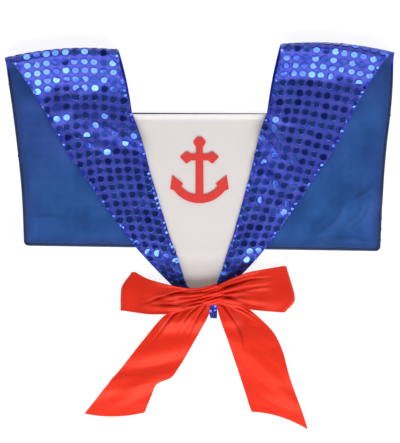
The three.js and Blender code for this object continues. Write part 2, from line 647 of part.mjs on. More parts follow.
// A tail: from under the knot out to its cut end on the floor.
function tailGeometry(sections, bulge) {
  const last = sections.length - 1;
  const byRow = sections.map((section, row) => ({ row: row / last, ...section }));
  const read = (column, t) => readTable(byRow, "row", column, t);
  const pointAt = (i, j) => {
    const t = i / TAIL_ROWS;
    const across = j / TAIL_COLUMNS - 0.5;
    const tilt = degToRad(read("tilt", t));
    const offset = across * RIBBON_WIDTH * read("width", t);
    const stands = RIBBON_WIDTH * bulge * smoothstep(t, 0.85, 1) * (1 - (2 * across) ** 2);
    const x = BOW_SIDE + TAIL_DROP * read("across", t) + offset * Math.cos(tilt);
    const down = knotDown + TAIL_DROP * read("down", t) + offset * Math.sin(tilt) + stands;
    const z = bowFloor(x, down) + TAIL_WAVE * read("lift", t) + RIBBON / 2;
    return new THREE.Vector3(x, -down, z);
  };
  return clothGeometry(TAIL_ROWS, TAIL_COLUMNS, (i, j) => pointAt(i, TAIL_COLUMNS - j), RIBBON);
}

addPiece("back_flap", flapGeometry(0, 0, CLOTH), SEQUINS);
addPiece("flap_lining", flapGeometry((CLOTH + LINING) / 2 + LAYER_GAP, LINING_INSET, LINING), LINING_CLOTH);
addPiece("left_lapel", lapelGeometry(LEFT, LAPEL_FOLDS.left), SEQUINS);
addPiece("right_lapel", lapelGeometry(RIGHT, LAPEL_FOLDS.right), SEQUINS);
addPiece("front_panel", panelGeometry(), WHITE_CLOTH);
addPiece("anchor_emblem", anchorGeometry(), RED_FELT);
collar.getObjectByName("anchor_emblem").position.set(
  0,
  -(PANEL_DROP + EMBLEM_DROP),
  panelTop(0, PANEL_DROP + EMBLEM_DROP) + EMBLEM_GAP,
);
addPiece("bow_knot", knotGeometry(0), SATIN);
const leftLoop = loopGeometry(-1, LEFT_LOOP, LOOP_SECTIONS.left, LOOP_ENDS.left);
const rightLoop = loopGeometry(1, RIGHT_LOOP, LOOP_SECTIONS.right, LOOP_ENDS.right);
addPiece("bow_loop_left", cutAtKnot(leftLoop), SATIN);
addPiece("bow_loop_right", cutAtKnot(rightLoop), SATIN);
addPiece("bow_tail_left", cutAtKnot(tailGeometry(TAIL_SECTIONS.left, TAIL_END_BULGE.left)), SATIN);
addPiece("bow_tail_right", cutAtKnot(tailGeometry(TAIL_SECTIONS.right, TAIL_END_BULGE.right)), SATIN);

// The part's origin is the middle of the floor under it.
const box = new THREE.Box3().setFromObject(collar);
const middle = box.getCenter(new THREE.Vector3());
collar.position.set(-middle.x, -middle.y, -box.min.z);

export default collar;
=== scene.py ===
"""The looks of a sailor collar laid flat: cloth, sequins, lining, anchor and bow, round its CAD frame.

The cloth is worked out in millimetres: x to the right, down from the shoulder line, z up from the floor.
"""

import math
from collections import namedtuple

import bpy
import numpy as np
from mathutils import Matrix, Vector


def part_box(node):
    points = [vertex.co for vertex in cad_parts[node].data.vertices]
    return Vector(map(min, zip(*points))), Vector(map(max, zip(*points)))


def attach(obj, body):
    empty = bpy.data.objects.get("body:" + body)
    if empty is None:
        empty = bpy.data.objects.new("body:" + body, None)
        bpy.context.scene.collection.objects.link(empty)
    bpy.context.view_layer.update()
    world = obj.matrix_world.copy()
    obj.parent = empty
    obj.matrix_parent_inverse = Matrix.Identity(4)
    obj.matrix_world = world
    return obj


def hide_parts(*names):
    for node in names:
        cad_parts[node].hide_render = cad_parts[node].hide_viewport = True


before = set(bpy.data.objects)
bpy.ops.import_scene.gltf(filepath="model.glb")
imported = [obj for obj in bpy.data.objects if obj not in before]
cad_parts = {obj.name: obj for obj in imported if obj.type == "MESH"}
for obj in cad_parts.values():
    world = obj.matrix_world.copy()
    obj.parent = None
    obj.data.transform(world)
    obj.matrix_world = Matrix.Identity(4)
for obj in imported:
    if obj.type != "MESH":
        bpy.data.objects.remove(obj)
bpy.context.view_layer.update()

# Sizes of the CAD part, in millimetres
COLLAR_WIDTH = 389.0
NECK_WIDTH = 161.0
COLLAR_DEPTH = 205.0
FRONT_LENGTH = 275.0
BACK_NECK_DROP = 70.0
BACK_NECK_WIDTH = 135.0
FRONT_LEAN = 3.0
ROLL_HEIGHT = 26.0
ROLL_CREST = 6.0
ROLL_SLOPE = 35.0  # in degrees
LEFT_ROLL_RUN = 52.0
RIGHT_ROLL_RUN = 38.0
SHOULDER_FALL = 10.0
SHOULDER_PEAK = 0.3
LEFT_SHOULDER_DROP = 5.5
HEM_SLANT = 3.0
HEM_CORNER = 5.0
CLOTH = 1.2
LINING = 1.0
LAYER_GAP = 0.4
SEAM_GAP = 0.3
STEP_RUN = 15.0
FLAP_FOLD_HEIGHT = 4.0
LAPEL_FOLD_HEIGHT = 4.5
PANEL_DROP = 71.5
PANEL_TUCK = 20.0
PANEL = 1.2
SEAM_ALLOWANCE = 8.0
EMBLEM = 1.0
EMBLEM_HEIGHT = 67.5
EMBLEM_DROP = 54.5
RIBBON_WIDTH = 47.0
RIBBON = 1.0
BOW_RISE = 24.0
BOW_SIDE = 13.5
KNOT_WIDTH = 30.0
KNOT_LENGTH = 21.0
KNOT_HEIGHT = 13.0
LEFT_LOOP = 93.0
RIGHT_LOOP = 82.0
LOOP_HEIGHT = 10.0
LOOP_END_HEIGHT = 7.0
TAIL_DROP = 136.0
TAIL_WAVE = 6.0

# Sizes that only the looks need, in millimetres
SEQUIN_RADIUS = 3.45
SEQUIN_HOLE = 0.35
SEQUIN_LIFT = 0.12  # from the cloth to the underside of a sequin
SEQUIN_THICKNESS = 0.16
SEQUIN_CUP = 0.05  # how much higher a sequin's rim is than its middle
SEQUIN_ACROSS = 9.45  # spacing of the sequins along a row
SEQUIN_DOWN = 10.4  # spacing of the rows
GLINT_SHARE = 0.05  # share of the sequins that hang askew
EDGE_ROLL = 3.2  # width of the sequinned cloth that is turned over the lining's edge
PANEL_HEM = 6.5
HEM_REACH = 1.2  # how much nearer to the neckline than its solid the panel's soft hem comes
PRESS_THROUGH = 0.16  # height of the bumps that the sequins below make in the lining
FLAP_HALF = 0.4  # half the thickness of the flap's cloth
LAPEL_HALF = 0.45  # half the thickness of the lapels' cloth
LINING_HALF = 0.3
NECK_BOW = 1.3  # how far the sides of the neck opening bow inwards
ROLL_STEPS = 16  # rows of the flap's grid that lie in the roll
FOLD_MARGIN = 3.6  # arc length from the flap's fold to its first sequins
CUT_STRIP = 1.9  # sequins nearer than this to a lapel's edge are cut off
LEAN_BACK = 0.27  # how far loose sequins on the lapels' slope lean back
CUT_REACH = 0.15  # how far past the edge a cut sequin comes
ROW_HALF = 22  # most sequins to each side of the middle of a row
FLOOR_GAP = 0.05  # from the floor to the lowest sequin
RIBBON_HALF = 0.32  # half the thickness of the loops' and the knot's ribbon
TAIL_HALF = 0.3
SELVEDGE = 1.3  # width of the ribbon's selvedges
SELVEDGE_RISE = 0.1
LOOP_ROOM = 2.2  # least distance between the middles of a loop's two layers
LEFT_TAIL_SLANT = 0.1  # how much sooner a tail's lift comes at its right edge, as a share of its length
RIGHT_TAIL_SLANT = -0.22
KNOT_LEAN = 13.0  # in degrees

half_width = COLLAR_WIDTH / 2
neck_half = NECK_WIDTH / 2
shoulder = half_width - neck_half
roll_radius = (ROLL_HEIGHT - CLOTH) / 2
roll_steepness = math.tan(math.radians(ROLL_SLOPE))
slope_turn = math.atan(roll_steepness * ROLL_CREST / roll_radius)
slope_start = ROLL_CREST * (1 + math.sin(slope_turn))
flap_stack = CLOTH + LAYER_GAP + LINING
knot_down = FRONT_LENGTH - BOW_RISE
emblem_down = PANEL_DROP + EMBLEM_DROP

# Where the working point of the cloth lies in the frame
shoulder_y = 1000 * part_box("right_lapel")[1].y - CLOTH / 2
anchor_low, anchor_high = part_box("anchor_emblem")
middle_x = 500 * (anchor_low.x + anchor_high.x)

# The lapels: down the front, distance of the inner edge, width, all as shares
LAPEL_SECTIONS = [
    (0.0, 1.0, 1.0),
    (0.03, 0.994, 0.905),
    (0.07, 0.975, 0.86),
    (0.12, 0.93, 0.82),
    (0.17, 0.9, 0.778),
    (0.23, 0.848, 0.735),
    (0.28, 0.782, 0.722),
    (0.34, 0.72, 0.694),
    (0.4, 0.67, 0.64),
    (0.46, 0.622, 0.579),
    (0.52, 0.563, 0.525),
    (0.58, 0.508, 0.468),
    (0.64, 0.447, 0.41),
    (0.7, 0.387, 0.354),
    (0.76, 0.314, 0.29),
    (0.82, 0.25, 0.208),
    (0.88, 0.18, 0.125),
]
LEFT_END = [(0.935, -0.19, 0.1), (1.0, -0.18, 0.056)]
RIGHT_END = [(0.94, 0.17, 0.06)]

# The back flap's outer edges: share of its depth, left and right as shares of half its width
FLAP_SECTIONS = [
    (0.0, 1.0, 1.0),
    (0.12, 0.985, 0.998),
    (0.25, 0.967, 0.99),
    (0.5, 0.937, 0.962),
    (0.75, 0.914, 0.943),
    (1.0, 0.905, 0.932),
]

# Wrinkles: across, down, turn in degrees, length, width, rise
FLAP_FOLDS = [
    (0.68, 0.86, 52, 0.24, 0.07, 0.9),
    (0.85, 0.78, 40, 0.2, 0.08, 0.7),
    (-0.86, 0.62, 84, 0.3, 0.06, 0.5),
]
LEFT_FOLDS = [
    (0.35, 0.29, -24, 0.75, 0.13, 1.0),
    (0.75, 0.22, -38, 0.5, 0.12, 0.7),
    (0.45, 0.7, -50, 0.5, 0.12, 0.5),
]
RIGHT_FOLDS = [
    (0.12, 0.34, -56, 0.75, 0.13, 1.0),
    (0.3, 0.5, -60, 0.45, 0.1, 0.6),
    (0.5, 0.74, 60, 0.45, 0.12, 0.5),
]
# Small folds that only the lapels' cloth shows: the same, but with the rise in millimetres
LEFT_SMALL_FOLDS = [
    (0.1, 0.262, -25, 0.3, 0.06, 2.4),
    (0.2, 0.318, -25, 0.34, 0.055, 2.5),
    (0.6, 0.352, -25, 0.28, 0.05, 2.1),
    (0.86, 0.225, 40, 0.32, 0.1, 2.6),
    (0.35, 0.8, -30, 0.2, 0.05, 1.8),
    (0.6, 0.87, 40, 0.16, 0.05, 1.6),
]
RIGHT_SMALL_FOLDS = [
    (0.1, 0.262, -20, 0.26, 0.055, 2.4),
    (0.9, 0.17, -50, 0.26, 0.08, 2.2),
    (0.2, 0.37, -48, 0.24, 0.045, 2.0),
    (0.4, 0.5, -48, 0.24, 0.045, 2.1),
    (0.75, 0.6, 60, 0.2, 0.05, 1.4),
    (0.4, 0.83, 45, 0.2, 0.05, 1.8),
]
# Narrow creases in the lining: height and width in millimetres, then places across and down as shares
LINING_CREASES = [
    (2.0, 1.9, [(0.737, 0.775), (0.722, 0.83), (0.676, 0.885), (0.607, 0.94)]),
    (1.4, 1.8, [(0.897, 0.695), (0.851, 0.727), (0.81, 0.751), (0.779, 0.773)]),
    (1.5, 1.9, [(0.87, 0.8), (0.85, 0.84), (0.82, 0.872), (0.79, 0.9)]),
    (1.0, 1.7, [(0.84, 0.77), (0.82, 0.83), (0.775, 0.87), (0.74, 0.9)]),
    (0.9, 1.6, [(0.6, 0.958), (0.75, 0.953), (0.84, 0.962), (0.89, 0.968)]),
    (1.0, 2.2, [(-0.905, 0.55), (-0.888, 0.66), (-0.878, 0.8)]),
    (0.7, 1.9, [(-0.86, 0.845), (-0.78, 0.842), (-0.69, 0.855)]),
]

# The loops: out from the knot, upper and lower edge; and their slanting ends: across, reach
LEFT_LOOP_SECTIONS = [
    (0.06, 0.15, 0.18),
    (0.27, 0.135, 0.3),
    (0.5, 0.19, 0.405),
    (0.68, 0.257, 0.42),
    (0.85, 0.342, 0.388),
    (1.0, 0.477, 0.345),
]
RIGHT_LOOP_SECTIONS = [
    (0.06, 0.2, 0.18),
    (0.23, 0.32, 0.255),
    (0.36, 0.4, 0.285),
    (0.5, 0.474, 0.31),
    (0.68, 0.525, 0.34),
    (1.0, 0.605, 0.38),
]
LEFT_LOOP_END = [(0.0, 0.88), (0.45, 0.99), (1.0, 1.0)]
RIGHT_LOOP_END = [(0.0, 0.9), (0.72, 1.0), (1.0, 0.88)]

# The tails: across, down, width, tilt in degrees, lift
LEFT_TAIL = [
    (-0.06, 0.035, 0.3, 4, 0),
    (-0.121, 0.092, 0.575, 2, 0),
    (-0.191, 0.154, 0.895, 3, 0.05),
    (-0.324, 0.338, 1.106, 0, 0.3),
    (-0.458, 0.533, 1.234, -1, 0.2),
    (-0.518, 0.608, 1.25, 0, 0.55),
    (-0.601, 0.669, 1.074, -2, 0.5),
    (-0.654, 0.757, 1.138, 0, 0.1),
    (-0.726, 0.875, 1.287, -1, 0),
]
RIGHT_TAIL = [
    (0.06, 0.035, 0.3, -4, 0),
    (0.132, 0.092, 0.596, -2, 0),
    (0.195, 0.173, 0.83, -1.5, 0.05),
    (0.276, 0.298, 1.043, -1, 0.25),
    (0.327, 0.423, 1.085, -1, 0.8),
    (0.381, 0.603, 1.053, 0, 0.4),
    (0.426, 0.735, 1.064, 0, 0.1),
    (0.493, 0.932, 1.249, 17.4, 0),
]

# The anchor above its arms, from the top down, and the fluke: out, up
ANCHOR_HEAD = [
    (0.03, 0.49),
    (0.097, 0.411),
    (0.049, 0.33),
    (0.049, 0.235),
    (0.126, 0.237),
    (0.193, 0.273),
    (0.29, 0.187),
    (0.193, 0.084),
    (0.126, 0.135),
    (0.056, 0.135),
]
ANCHOR_FLUKE = [(0.237, -0.213), (0.403, -0.077), (0.433, -0.29)]

# Creases in the loops: depth and width in millimetres, then places along the loop and across it
LEFT_LOOP_CREASES = [
    (2.2, 1.5, [(0.05, 0.1), (0.26, 0.14), (0.55, 0.42), (0.86, 0.8)]),
    (2.0, 1.5, [(0.05, 0.88), (0.26, 0.77), (0.5, 0.69), (0.75, 0.66)]),
    (1.2, 1.3, [(0.05, 0.5), (0.3, 0.42), (0.6, 0.2)]),
]
RIGHT_LOOP_CREASES = [
    (2.2, 1.5, [(0.05, 0.26), (0.2, 0.23), (0.45, 0.2), (0.85, 0.22)]),
    (1.7, 1.4, [(0.05, 0.48), (0.3, 0.43), (0.85, 0.36)]),
    (2.0, 1.6, [(0.05, 0.62), (0.2, 0.71), (0.5, 0.88)]),
]

# Creases in the tails, the same way, from the left edge, -0.5, to the right edge, 0.5
LEFT_TAIL_CREASES = [
    (2.0, 1.8, [(0.02, -0.32), (0.1, -0.38), (0.27, -0.31), (0.44, -0.27)]),
    (1.6, 1.7, [(0.02, 0.05), (0.2, 0.02), (0.38, 0.06)]),
    (1.3, 1.5, [(0.04, 0.3), (0.2, 0.26), (0.42, 0.34)]),
]
RIGHT_TAIL_CREASES = [
    (2.0, 1.7, [(0.02, -0.2), (0.12, -0.22), (0.34, -0.17), (0.62, -0.3)]),
    (1.8, 1.6, [(0.02, 0.1), (0.14, 0.16), (0.24, 0.34), (0.34, 0.44)]),
    (1.2, 1.5, [(0.02, 0.3), (0.12, 0.38), (0.26, 0.47)]),
]

# Soft ridges that cross the tails: across and down from the knot, turn, length and width as shares
# of the tails' drop, and height in millimetres
LEFT_TAIL_RIDGES = [
    (-0.24, 0.19, 27, 0.2, 0.065, 1.7),
    (-0.37, 0.42, 12, 0.4, 0.1, 2.8),
    (-0.53, 0.68, 30, 0.3, 0.085, 1.8),
]
RIGHT_TAIL_RIDGES = [
    (0.3, 0.32, -8, 0.26, 0.09, 2.2),
    (0.37, 0.55, -46, 0.36, 0.085, 2.6),
    (0.52, 0.76, -24, 0.24, 0.08, 1.6),
]

# How the rows of sequins turn down each lapel: arc length from the fold, degrees
LEFT_GRAIN = [(0, 0), (70, 0), (110, -4), (150, -6.5), (180, -12), (290, -13)]
RIGHT_GRAIN = [(0, 5), (45, 7), (85, 10), (120, 14), (160, 17), (290, 20)]


def curve_at(points, at):
    """A smooth curve through points that never overshoots, read at an array of places."""
    points = np.array(points, float)
    xs, ys = points[:, 0], points[:, 1]
    steps = np.diff(ys) / np.diff(xs)
    product = steps[:-1] * steps[1:]
    total = steps[:-1] + steps[1:]
    inside = np.where(product > 0, 2 * product / np.where(total == 0, 1, total), 0)
    slopes = np.concatenate([steps[:1], inside, steps[-1:]])
    place = np.clip(at, xs[0], xs[-1])
    i = np.clip(np.searchsorted(xs, place, side="left") - 1, 0, len(steps) - 1)
    span = xs[i + 1] - xs[i]
    t = (place - xs[i]) / span
    start = ys[i] * (1 + 2 * t) * (1 - t) ** 2 + span * slopes[i] * t * (1 - t) ** 2
    end = ys[i + 1] * (3 - 2 * t) * t**2 - span * slopes[i + 1] * (1 - t) * t**2
    return start + end


def column_at(table, column, at):
    return curve_at([(row[0], row[column]) for row in table], at)


def smooth(at, low, high):
    t = np.clip((at - low) / (high - low), 0, 1)
    return t * t * (3 - 2 * t)


def lerp(a, b, t):
    return a + (b - a) * t


Side = namedtuple("Side", "sign drop roll_run sections folds small_folds grain")
left_sections = LAPEL_SECTIONS + LEFT_END
right_sections = LAPEL_SECTIONS + RIGHT_END
LEFT = Side(-1, LEFT_SHOULDER_DROP, LEFT_ROLL_RUN, left_sections, LEFT_FOLDS, LEFT_SMALL_FOLDS, LEFT_GRAIN)
RIGHT = Side(1, 0.0, RIGHT_ROLL_RUN, right_sections, RIGHT_FOLDS, RIGHT_SMALL_FOLDS, RIGHT_GRAIN)


def fold_down(side, across):
    return side.drop + SHOULDER_FALL * ((across - SHOULDER_PEAK) / (1 - SHOULDER_PEAK)) ** 2


def hem_down(x):
    return COLLAR_DEPTH + HEM_SLANT * x / half_width


def lapel_width(side, run):
    return shoulder * column_at(side.sections, 2, run / FRONT_LENGTH)


def lapel_x(side, run, across):
    inner = neck_half * column_at(side.sections, 1, run / FRONT_LENGTH)
    return side.sign * (inner + across * lapel_width(side, run)) + FRONT_LEAN * run / FRONT_LENGTH


def run_at(side, down, across):
    fold = fold_down(side, across)
    return (down - fold) / (1 - fold / FRONT_LENGTH)


def mound(dx, d_down, turn, length, width):
    angle = math.radians(turn)
    along = dx * math.cos(angle) - d_down * math.sin(angle)
    aside = dx * math.sin(angle) + d_down * math.cos(angle)
    square = (along / length) ** 2 + (aside / width) ** 2
    return np.where(square < 1, (1 - square) ** 2, 0)


def flap_lift(x, down):
    lift = np.zeros_like(x * down)
    for across, share, turn, length, width, rise in FLAP_FOLDS:
        dx = x - across * half_width
        d_down = down - share * COLLAR_DEPTH
        height = mound(dx, d_down, turn, length * COLLAR_DEPTH, width * COLLAR_DEPTH)
        lift = np.maximum(lift, FLAP_FOLD_HEIGHT * rise * height)
    return lift


def underlay(x, down):
    edge = hem_down(x) + CLOTH
    return (flap_stack + flap_lift(x, down)) * (1 - smooth(down, edge, edge + STEP_RUN))


def panel_top(x, down):
    return underlay(x, down) + LAYER_GAP + PANEL


def front_cover(x, down):
    run = np.clip(down, 0, FRONT_LENGTH)
    left = -lapel_x(LEFT, run, 1.0)
    right = lapel_x(RIGHT, run, 1.0)
    reach = np.maximum(np.where(x < 0, left, right), KNOT_WIDTH) + CLOTH
    end = FRONT_LENGTH + CLOTH
    beside = smooth(np.abs(x), reach, reach + STEP_RUN)
    return (1 - beside) * (1 - smooth(down, end, end + STEP_RUN))


def bow_floor(x, down):
    front = PANEL + CLOTH + 3 * LAYER_GAP
    return underlay(x, down) + front * front_cover(x, down)


def ripple(x, y, seed, length, count=9):
    """A field of soft waves about 1 high, in all directions, that are about length apart."""
    random = np.random.default_rng(seed)
    total = np.zeros_like(x * y)
    for _ in range(count):
        angle = random.uniform(0, 2 * math.pi)
        pitch = length * random.uniform(0.7, 1.6)
        phase = random.uniform(0, 2 * math.pi)
        wave = (x * math.cos(angle) + y * math.sin(angle)) * 2 * math.pi / pitch
        total = total + np.sin(wave + phase)
    return total / math.sqrt(count)


def grid_ripple(points, seed, length):
    return ripple(points[..., 0], points[..., 1], seed, length)


def grid(x, down, z):
    return np.stack(np.broadcast_arrays(x, down, z), axis=-1)


def normals_of(points):
    """Unit normals of a grid of points, rows down and columns to the right, upwards on flat cloth."""
    down = np.gradient(points, axis=0)
    right = np.gradient(points, axis=1)
    normal = np.cross(right, down)
    return normal / np.maximum(np.linalg.norm(normal, axis=2, keepdims=True), 1e-9)


def to_frame(points):
    """Working millimetres (x, down, z) to metres in the row frame."""
    points = np.asarray(points, float)
    return grid(points[..., 0] + middle_x, shoulder_y - points[..., 1], points[..., 2]) / 1000


def outward(placed, faces):
    """The faces of a closed mesh, turned over if they look inwards."""
    volume = 0.0
    for size in {len(face) for face in faces}:
        corners = placed[np.array([face for face in faces if len(face) == size])]
        for k in range(1, size - 1):
            volume += np.einsum("ij,ij->", corners[:, 0], np.cross(corners[:, k], corners[:, k + 1]))
    return faces if volume > 0 else [tuple(reversed(face)) for face in faces]


def add_object(name, data):
    made = bpy.data.objects.new(name, data)
    bpy.context.scene.collection.objects.link(made)
    return made


def add_mesh(name, points, faces, finish, values=None, uv=None):
    """A mesh object from points in working millimetres. values are numbers kept for each point."""
    mesh = bpy.data.meshes.new(name)
    placed = to_frame(points)
    mesh.from_pydata(placed.tolist(), [], [list(face) for face in outward(placed, faces)])
    mesh.update()
    if finish is FOIL:
        mesh.shade_flat()
    else:
        mesh.shade_smooth()
    for key, numbers in (values or {}).items():
        attribute = mesh.attributes.new(key, "FLOAT", "POINT")
        attribute.data.foreach_set("value", np.asarray(numbers, np.float32))
    if uv is not None:
        layer = mesh.uv_layers.new(name="cloth")
        corners = np.zeros(len(mesh.loops), np.int32)
        mesh.loops.foreach_get("vertex_index", corners)
        layer.data.foreach_set("uv", np.asarray(uv, np.float32)[corners].ravel())
    mesh.materials.append(finish)
    return add_object(name, mesh)


def add_cloth(name, points, above, below, finish, cells=None, values=None, uv=None):
    """A closed sheet of cloth round a grid of points: above and below are its half thicknesses."""
    rows, columns = points.shape[0] - 1, points.shape[1] - 1
    if cells is None:
        cells = np.ones((rows, columns), bool)
    normals = normals_of(points)
    tops = points + normals * np.broadcast_to(above, points.shape[:2])[..., None]
    bottoms = points - normals * np.broadcast_to(below, points.shape[:2])[..., None]
    used = np.zeros(points.shape[:2], bool)
    for di, dj in ((0, 0), (0, 1), (1, 0), (1, 1)):
        used[di : rows + di, dj : columns + dj] |= cells
    index = np.full(points.shape[:2], -1)
    index[used] = np.arange(used.sum())
    count = int(used.sum())
    a, b = index[:-1, :-1][cells], index[:-1, 1:][cells]
    c, d = index[1:, 1:][cells], index[1:, :-1][cells]
    faces = [np.stack([a, d, c, b], 1), np.stack([a, b, c, d], 1) + count]
    padded = np.pad(cells, 1)
    around = [
        (padded[:-2, 1:-1], (0, 0), (0, 1)),
        (padded[1:-1, 2:], (0, 1), (1, 1)),
        (padded[2:, 1:-1], (1, 1), (1, 0)),
        (padded[1:-1, :-2], (1, 0), (0, 0)),
    ]
    for neighbour, start, end in around:
        rim = np.argwhere(cells & ~neighbour)
        first = index[rim[:, 0] + start[0], rim[:, 1] + start[1]]
        second = index[rim[:, 0] + end[0], rim[:, 1] + end[1]]
        faces.append(np.stack([first, second, second + count, first + count], 1))
    both = np.concatenate([tops[used], bottoms[used]])
    doubled = {key: np.tile(np.broadcast_to(v, used.shape)[used], 2) for key, v in (values or {}).items()}
    uvs = None if uv is None else np.tile(uv[used], (2, 1)) / 100
    return add_mesh(name, both, np.concatenate(faces).tolist(), finish, doubled, uvs)


def edge_steps(length, spacing, near=4.2):
    """Distances along a length: close together near both ends, and evenly spaced between."""
    ends = np.array([0, 0.12, 0.35, 0.7, 1.1, 1.6, 2.2, 2.8, 3.4, 3.9, 4.4]) * near / 4.2
    count = max(int((length - 2 * ends[-1]) / spacing), 2)
    middle = np.linspace(ends[-1], length - ends[-1], count + 1)[1:-1]
    return np.concatenate([ends, middle, (length - ends)[::-1]])


def rounded(distance, width):
    """From 0 at an edge to 1 at width from it, as a rounded edge."""
    t = np.clip(distance / width, 0, 1)
    return np.sqrt(np.maximum(1 - (1 - t) ** 2, 0.0004))


class Finish:
    """A material with a Principled shader, and short ways to add nodes to it."""

    def __init__(self, name):
        self.material = bpy.data.materials.new(name)
        self.material.use_nodes = True
        self.tree = self.material.node_tree
        self.shader = self.tree.nodes["Principled BSDF"]

    def set(self, **values):
        for key, value in values.items():
            self.shader.inputs[key.replace("_", " ")].default_value = value
        return self

    def link(self, source, target):
        self.tree.links.new(source, target)

    def node(self, kind, inputs=None, **settings):
        """A node with its settings; its inputs are numbers or the outputs of other nodes."""
        made = self.tree.nodes.new(kind)
        for key, value in settings.items():
            setattr(made, key, value)
        for key, value in (inputs or {}).items():
            if isinstance(value, bpy.types.NodeSocket):
                self.link(value, made.inputs[key])
            else:
                made.inputs[key].default_value = value
        return made

    def number(self, key):
        return self.node("ShaderNodeAttribute", attribute_name=key).outputs["Fac"]

    def place(self):
        return self.node("ShaderNodeUVMap", uv_map="cloth").outputs["UV"]

    def math(self, operation, *values):
        return self.node("ShaderNodeMath", dict(enumerate(values)), operation=operation).outputs[0]

    def noise(self, scale, detail=3.0):
        inputs = {"Scale": scale, "Detail": detail, "Vector": self.place()}
        return self.node("ShaderNodeTexNoise", inputs).outputs["Fac"]

    def weave(self, pitch):
        """Threads that cross at a pitch in millimetres, from 0 to 1."""
        split = self.node("ShaderNodeSeparateXYZ", {0: self.place()})
        turns = 2 * math.pi * 100 / pitch
        one, two = [self.math("SINE", self.math("MULTIPLY", split.outputs[k], turns)) for k in (0, 1)]
        return self.math("MULTIPLY_ADD", self.math("MULTIPLY", one, two), 0.5, 0.5)

    def mix(self, amount, first, second):
        """A mixture of two colours, each a tuple or the output of another node."""
        made = self.node("ShaderNodeMix", {"Factor": amount}, data_type="RGBA")
        for socket, value in zip([s for s in made.inputs if s.type == "RGBA"], (first, second)):
            if isinstance(value, tuple):
                socket.default_value = (*value, 1)
            else:
                self.link(value, socket)
        return next(s for s in made.outputs if s.type == "RGBA")

    def ramp(self, value, low, high):
        inputs = {"Value": value, "From Min": low, "From Max": high}
        return self.node("ShaderNodeMapRange", inputs).outputs["Result"]

    def bump(self, height, strength, distance):
        inputs = {"Height": height, "Strength": strength, "Distance": distance}
        self.link(self.node("ShaderNodeBump", inputs).outputs["Normal"], self.shader.inputs["Normal"])

    def colour(self, socket):
        self.link(socket, self.shader.inputs["Base Color"])


def net_finish():
    """The blue net that the sequins are sewn to."""
    f = Finish("blue_net").set(Metallic=0.45, Roughness=0.42, Specular_IOR_Level=0.3)
    mesh = f.weave(1.25)
    near = f.mix(mesh, (0.007, 0.014, 0.22), (0.015, 0.034, 0.46))
    far = f.mix(mesh, (0.042, 0.052, 0.31), (0.105, 0.115, 0.56))
    # Painted shade: by the between value the net goes from the darker near colours, shaded by the sequins, to
    # the paler far ones.
    shade = f.mix(f.number("between"), near, far)
    cloudy = f.ramp(f.noise(3.0), 0.3, 0.7)
    plain = f.mix(f.math("MULTIPLY", cloudy, 0.4), shade, (0.022, 0.05, 0.46))
    # The turned edge is painted dark: partly the cloth's wrong side, partly painted shade along the rolled
    # seam.
    f.colour(f.mix(f.number("turned"), plain, (0.022, 0.04, 0.11)))
    f.bump(mesh, 0.5, 0.0002)
    return f.material


def sequin_finish():
    """Blue foil: each sequin has its own small difference in shade."""
    f = Finish("blue_foil").set(Metallic=0.9, Roughness=0.18, Coat_Weight=0.2, Coat_Roughness=0.08)
    f.colour(f.mix(f.number("shade"), (0.03, 0.075, 0.45), (0.1, 0.24, 0.95)))
    return f.material


def lining_finish():
    f = Finish("blue_lining").set(Roughness=0.7, Sheen_Weight=0.04, Specular_IOR_Level=0.25)
    weave = f.weave(0.5)
    cloudy = f.ramp(f.noise(3.2, 5.0), 0.32, 0.68)
    broad = f.ramp(f.noise(0.9, 1.0), 0.35, 0.65)
    greener = f.mix(cloudy, (0.004, 0.046, 0.195), (0.014, 0.085, 0.3))
    greyer = f.mix(cloudy, (0.011, 0.045, 0.215), (0.028, 0.075, 0.32))
    plain = f.mix(broad, greener, greyer)
    # Painted shade: the lining is darker over the bumps that the sequins below press into it.
    pressed = f.mix(f.math("MULTIPLY", f.number("press"), 0.4), plain, (0.01, 0.045, 0.19))
    # Painted shade along the sides of the lining's creases.
    pressed = f.mix(f.math("MULTIPLY", f.number("painted_crease_shade"), 0.6), pressed, (0.007, 0.03, 0.13))
    # Painted shade: the lining darkens towards its edges, where the seam and the turned cloth shade it.
    edge_painted_shade = f.ramp(f.number("edge"), 0.0, 9.0)
    f.colour(f.mix(edge_painted_shade, (0.011, 0.042, 0.175), pressed))
    f.bump(f.math("ADD", weave, f.math("MULTIPLY", f.noise(30.0, 3.0), 1.5)), 0.3, 0.00012)
    return f.material


def white_finish():
    f = Finish("white_cloth").set(Roughness=0.85, Sheen_Weight=0.15)
    weave = f.weave(0.7)
    hem = f.ramp(f.number("hem"), 0.0, 1.0)
    f.colour(f.mix(hem, (0.665, 0.625, 0.61), (0.84, 0.8, 0.775)))
    f.bump(weave, 0.25, 0.0001)
    return f.material


def felt_finish():
    """Red embroidery: fine threads across the anchor."""
    f = Finish("red_embroidery").set(Roughness=0.65, Sheen_Weight=0.05, Specular_IOR_Level=0.3)
    inputs = {"Scale": 70, "Distortion": 0.6, "Vector": f.place()}
    threads = f.node("ShaderNodeTexWave", inputs, bands_direction="DIAGONAL").outputs["Fac"]
    f.colour(f.mix(threads, (0.6, 0.032, 0.026), (0.72, 0.046, 0.036)))
    f.bump(threads, 0.3, 0.00015)
    return f.material


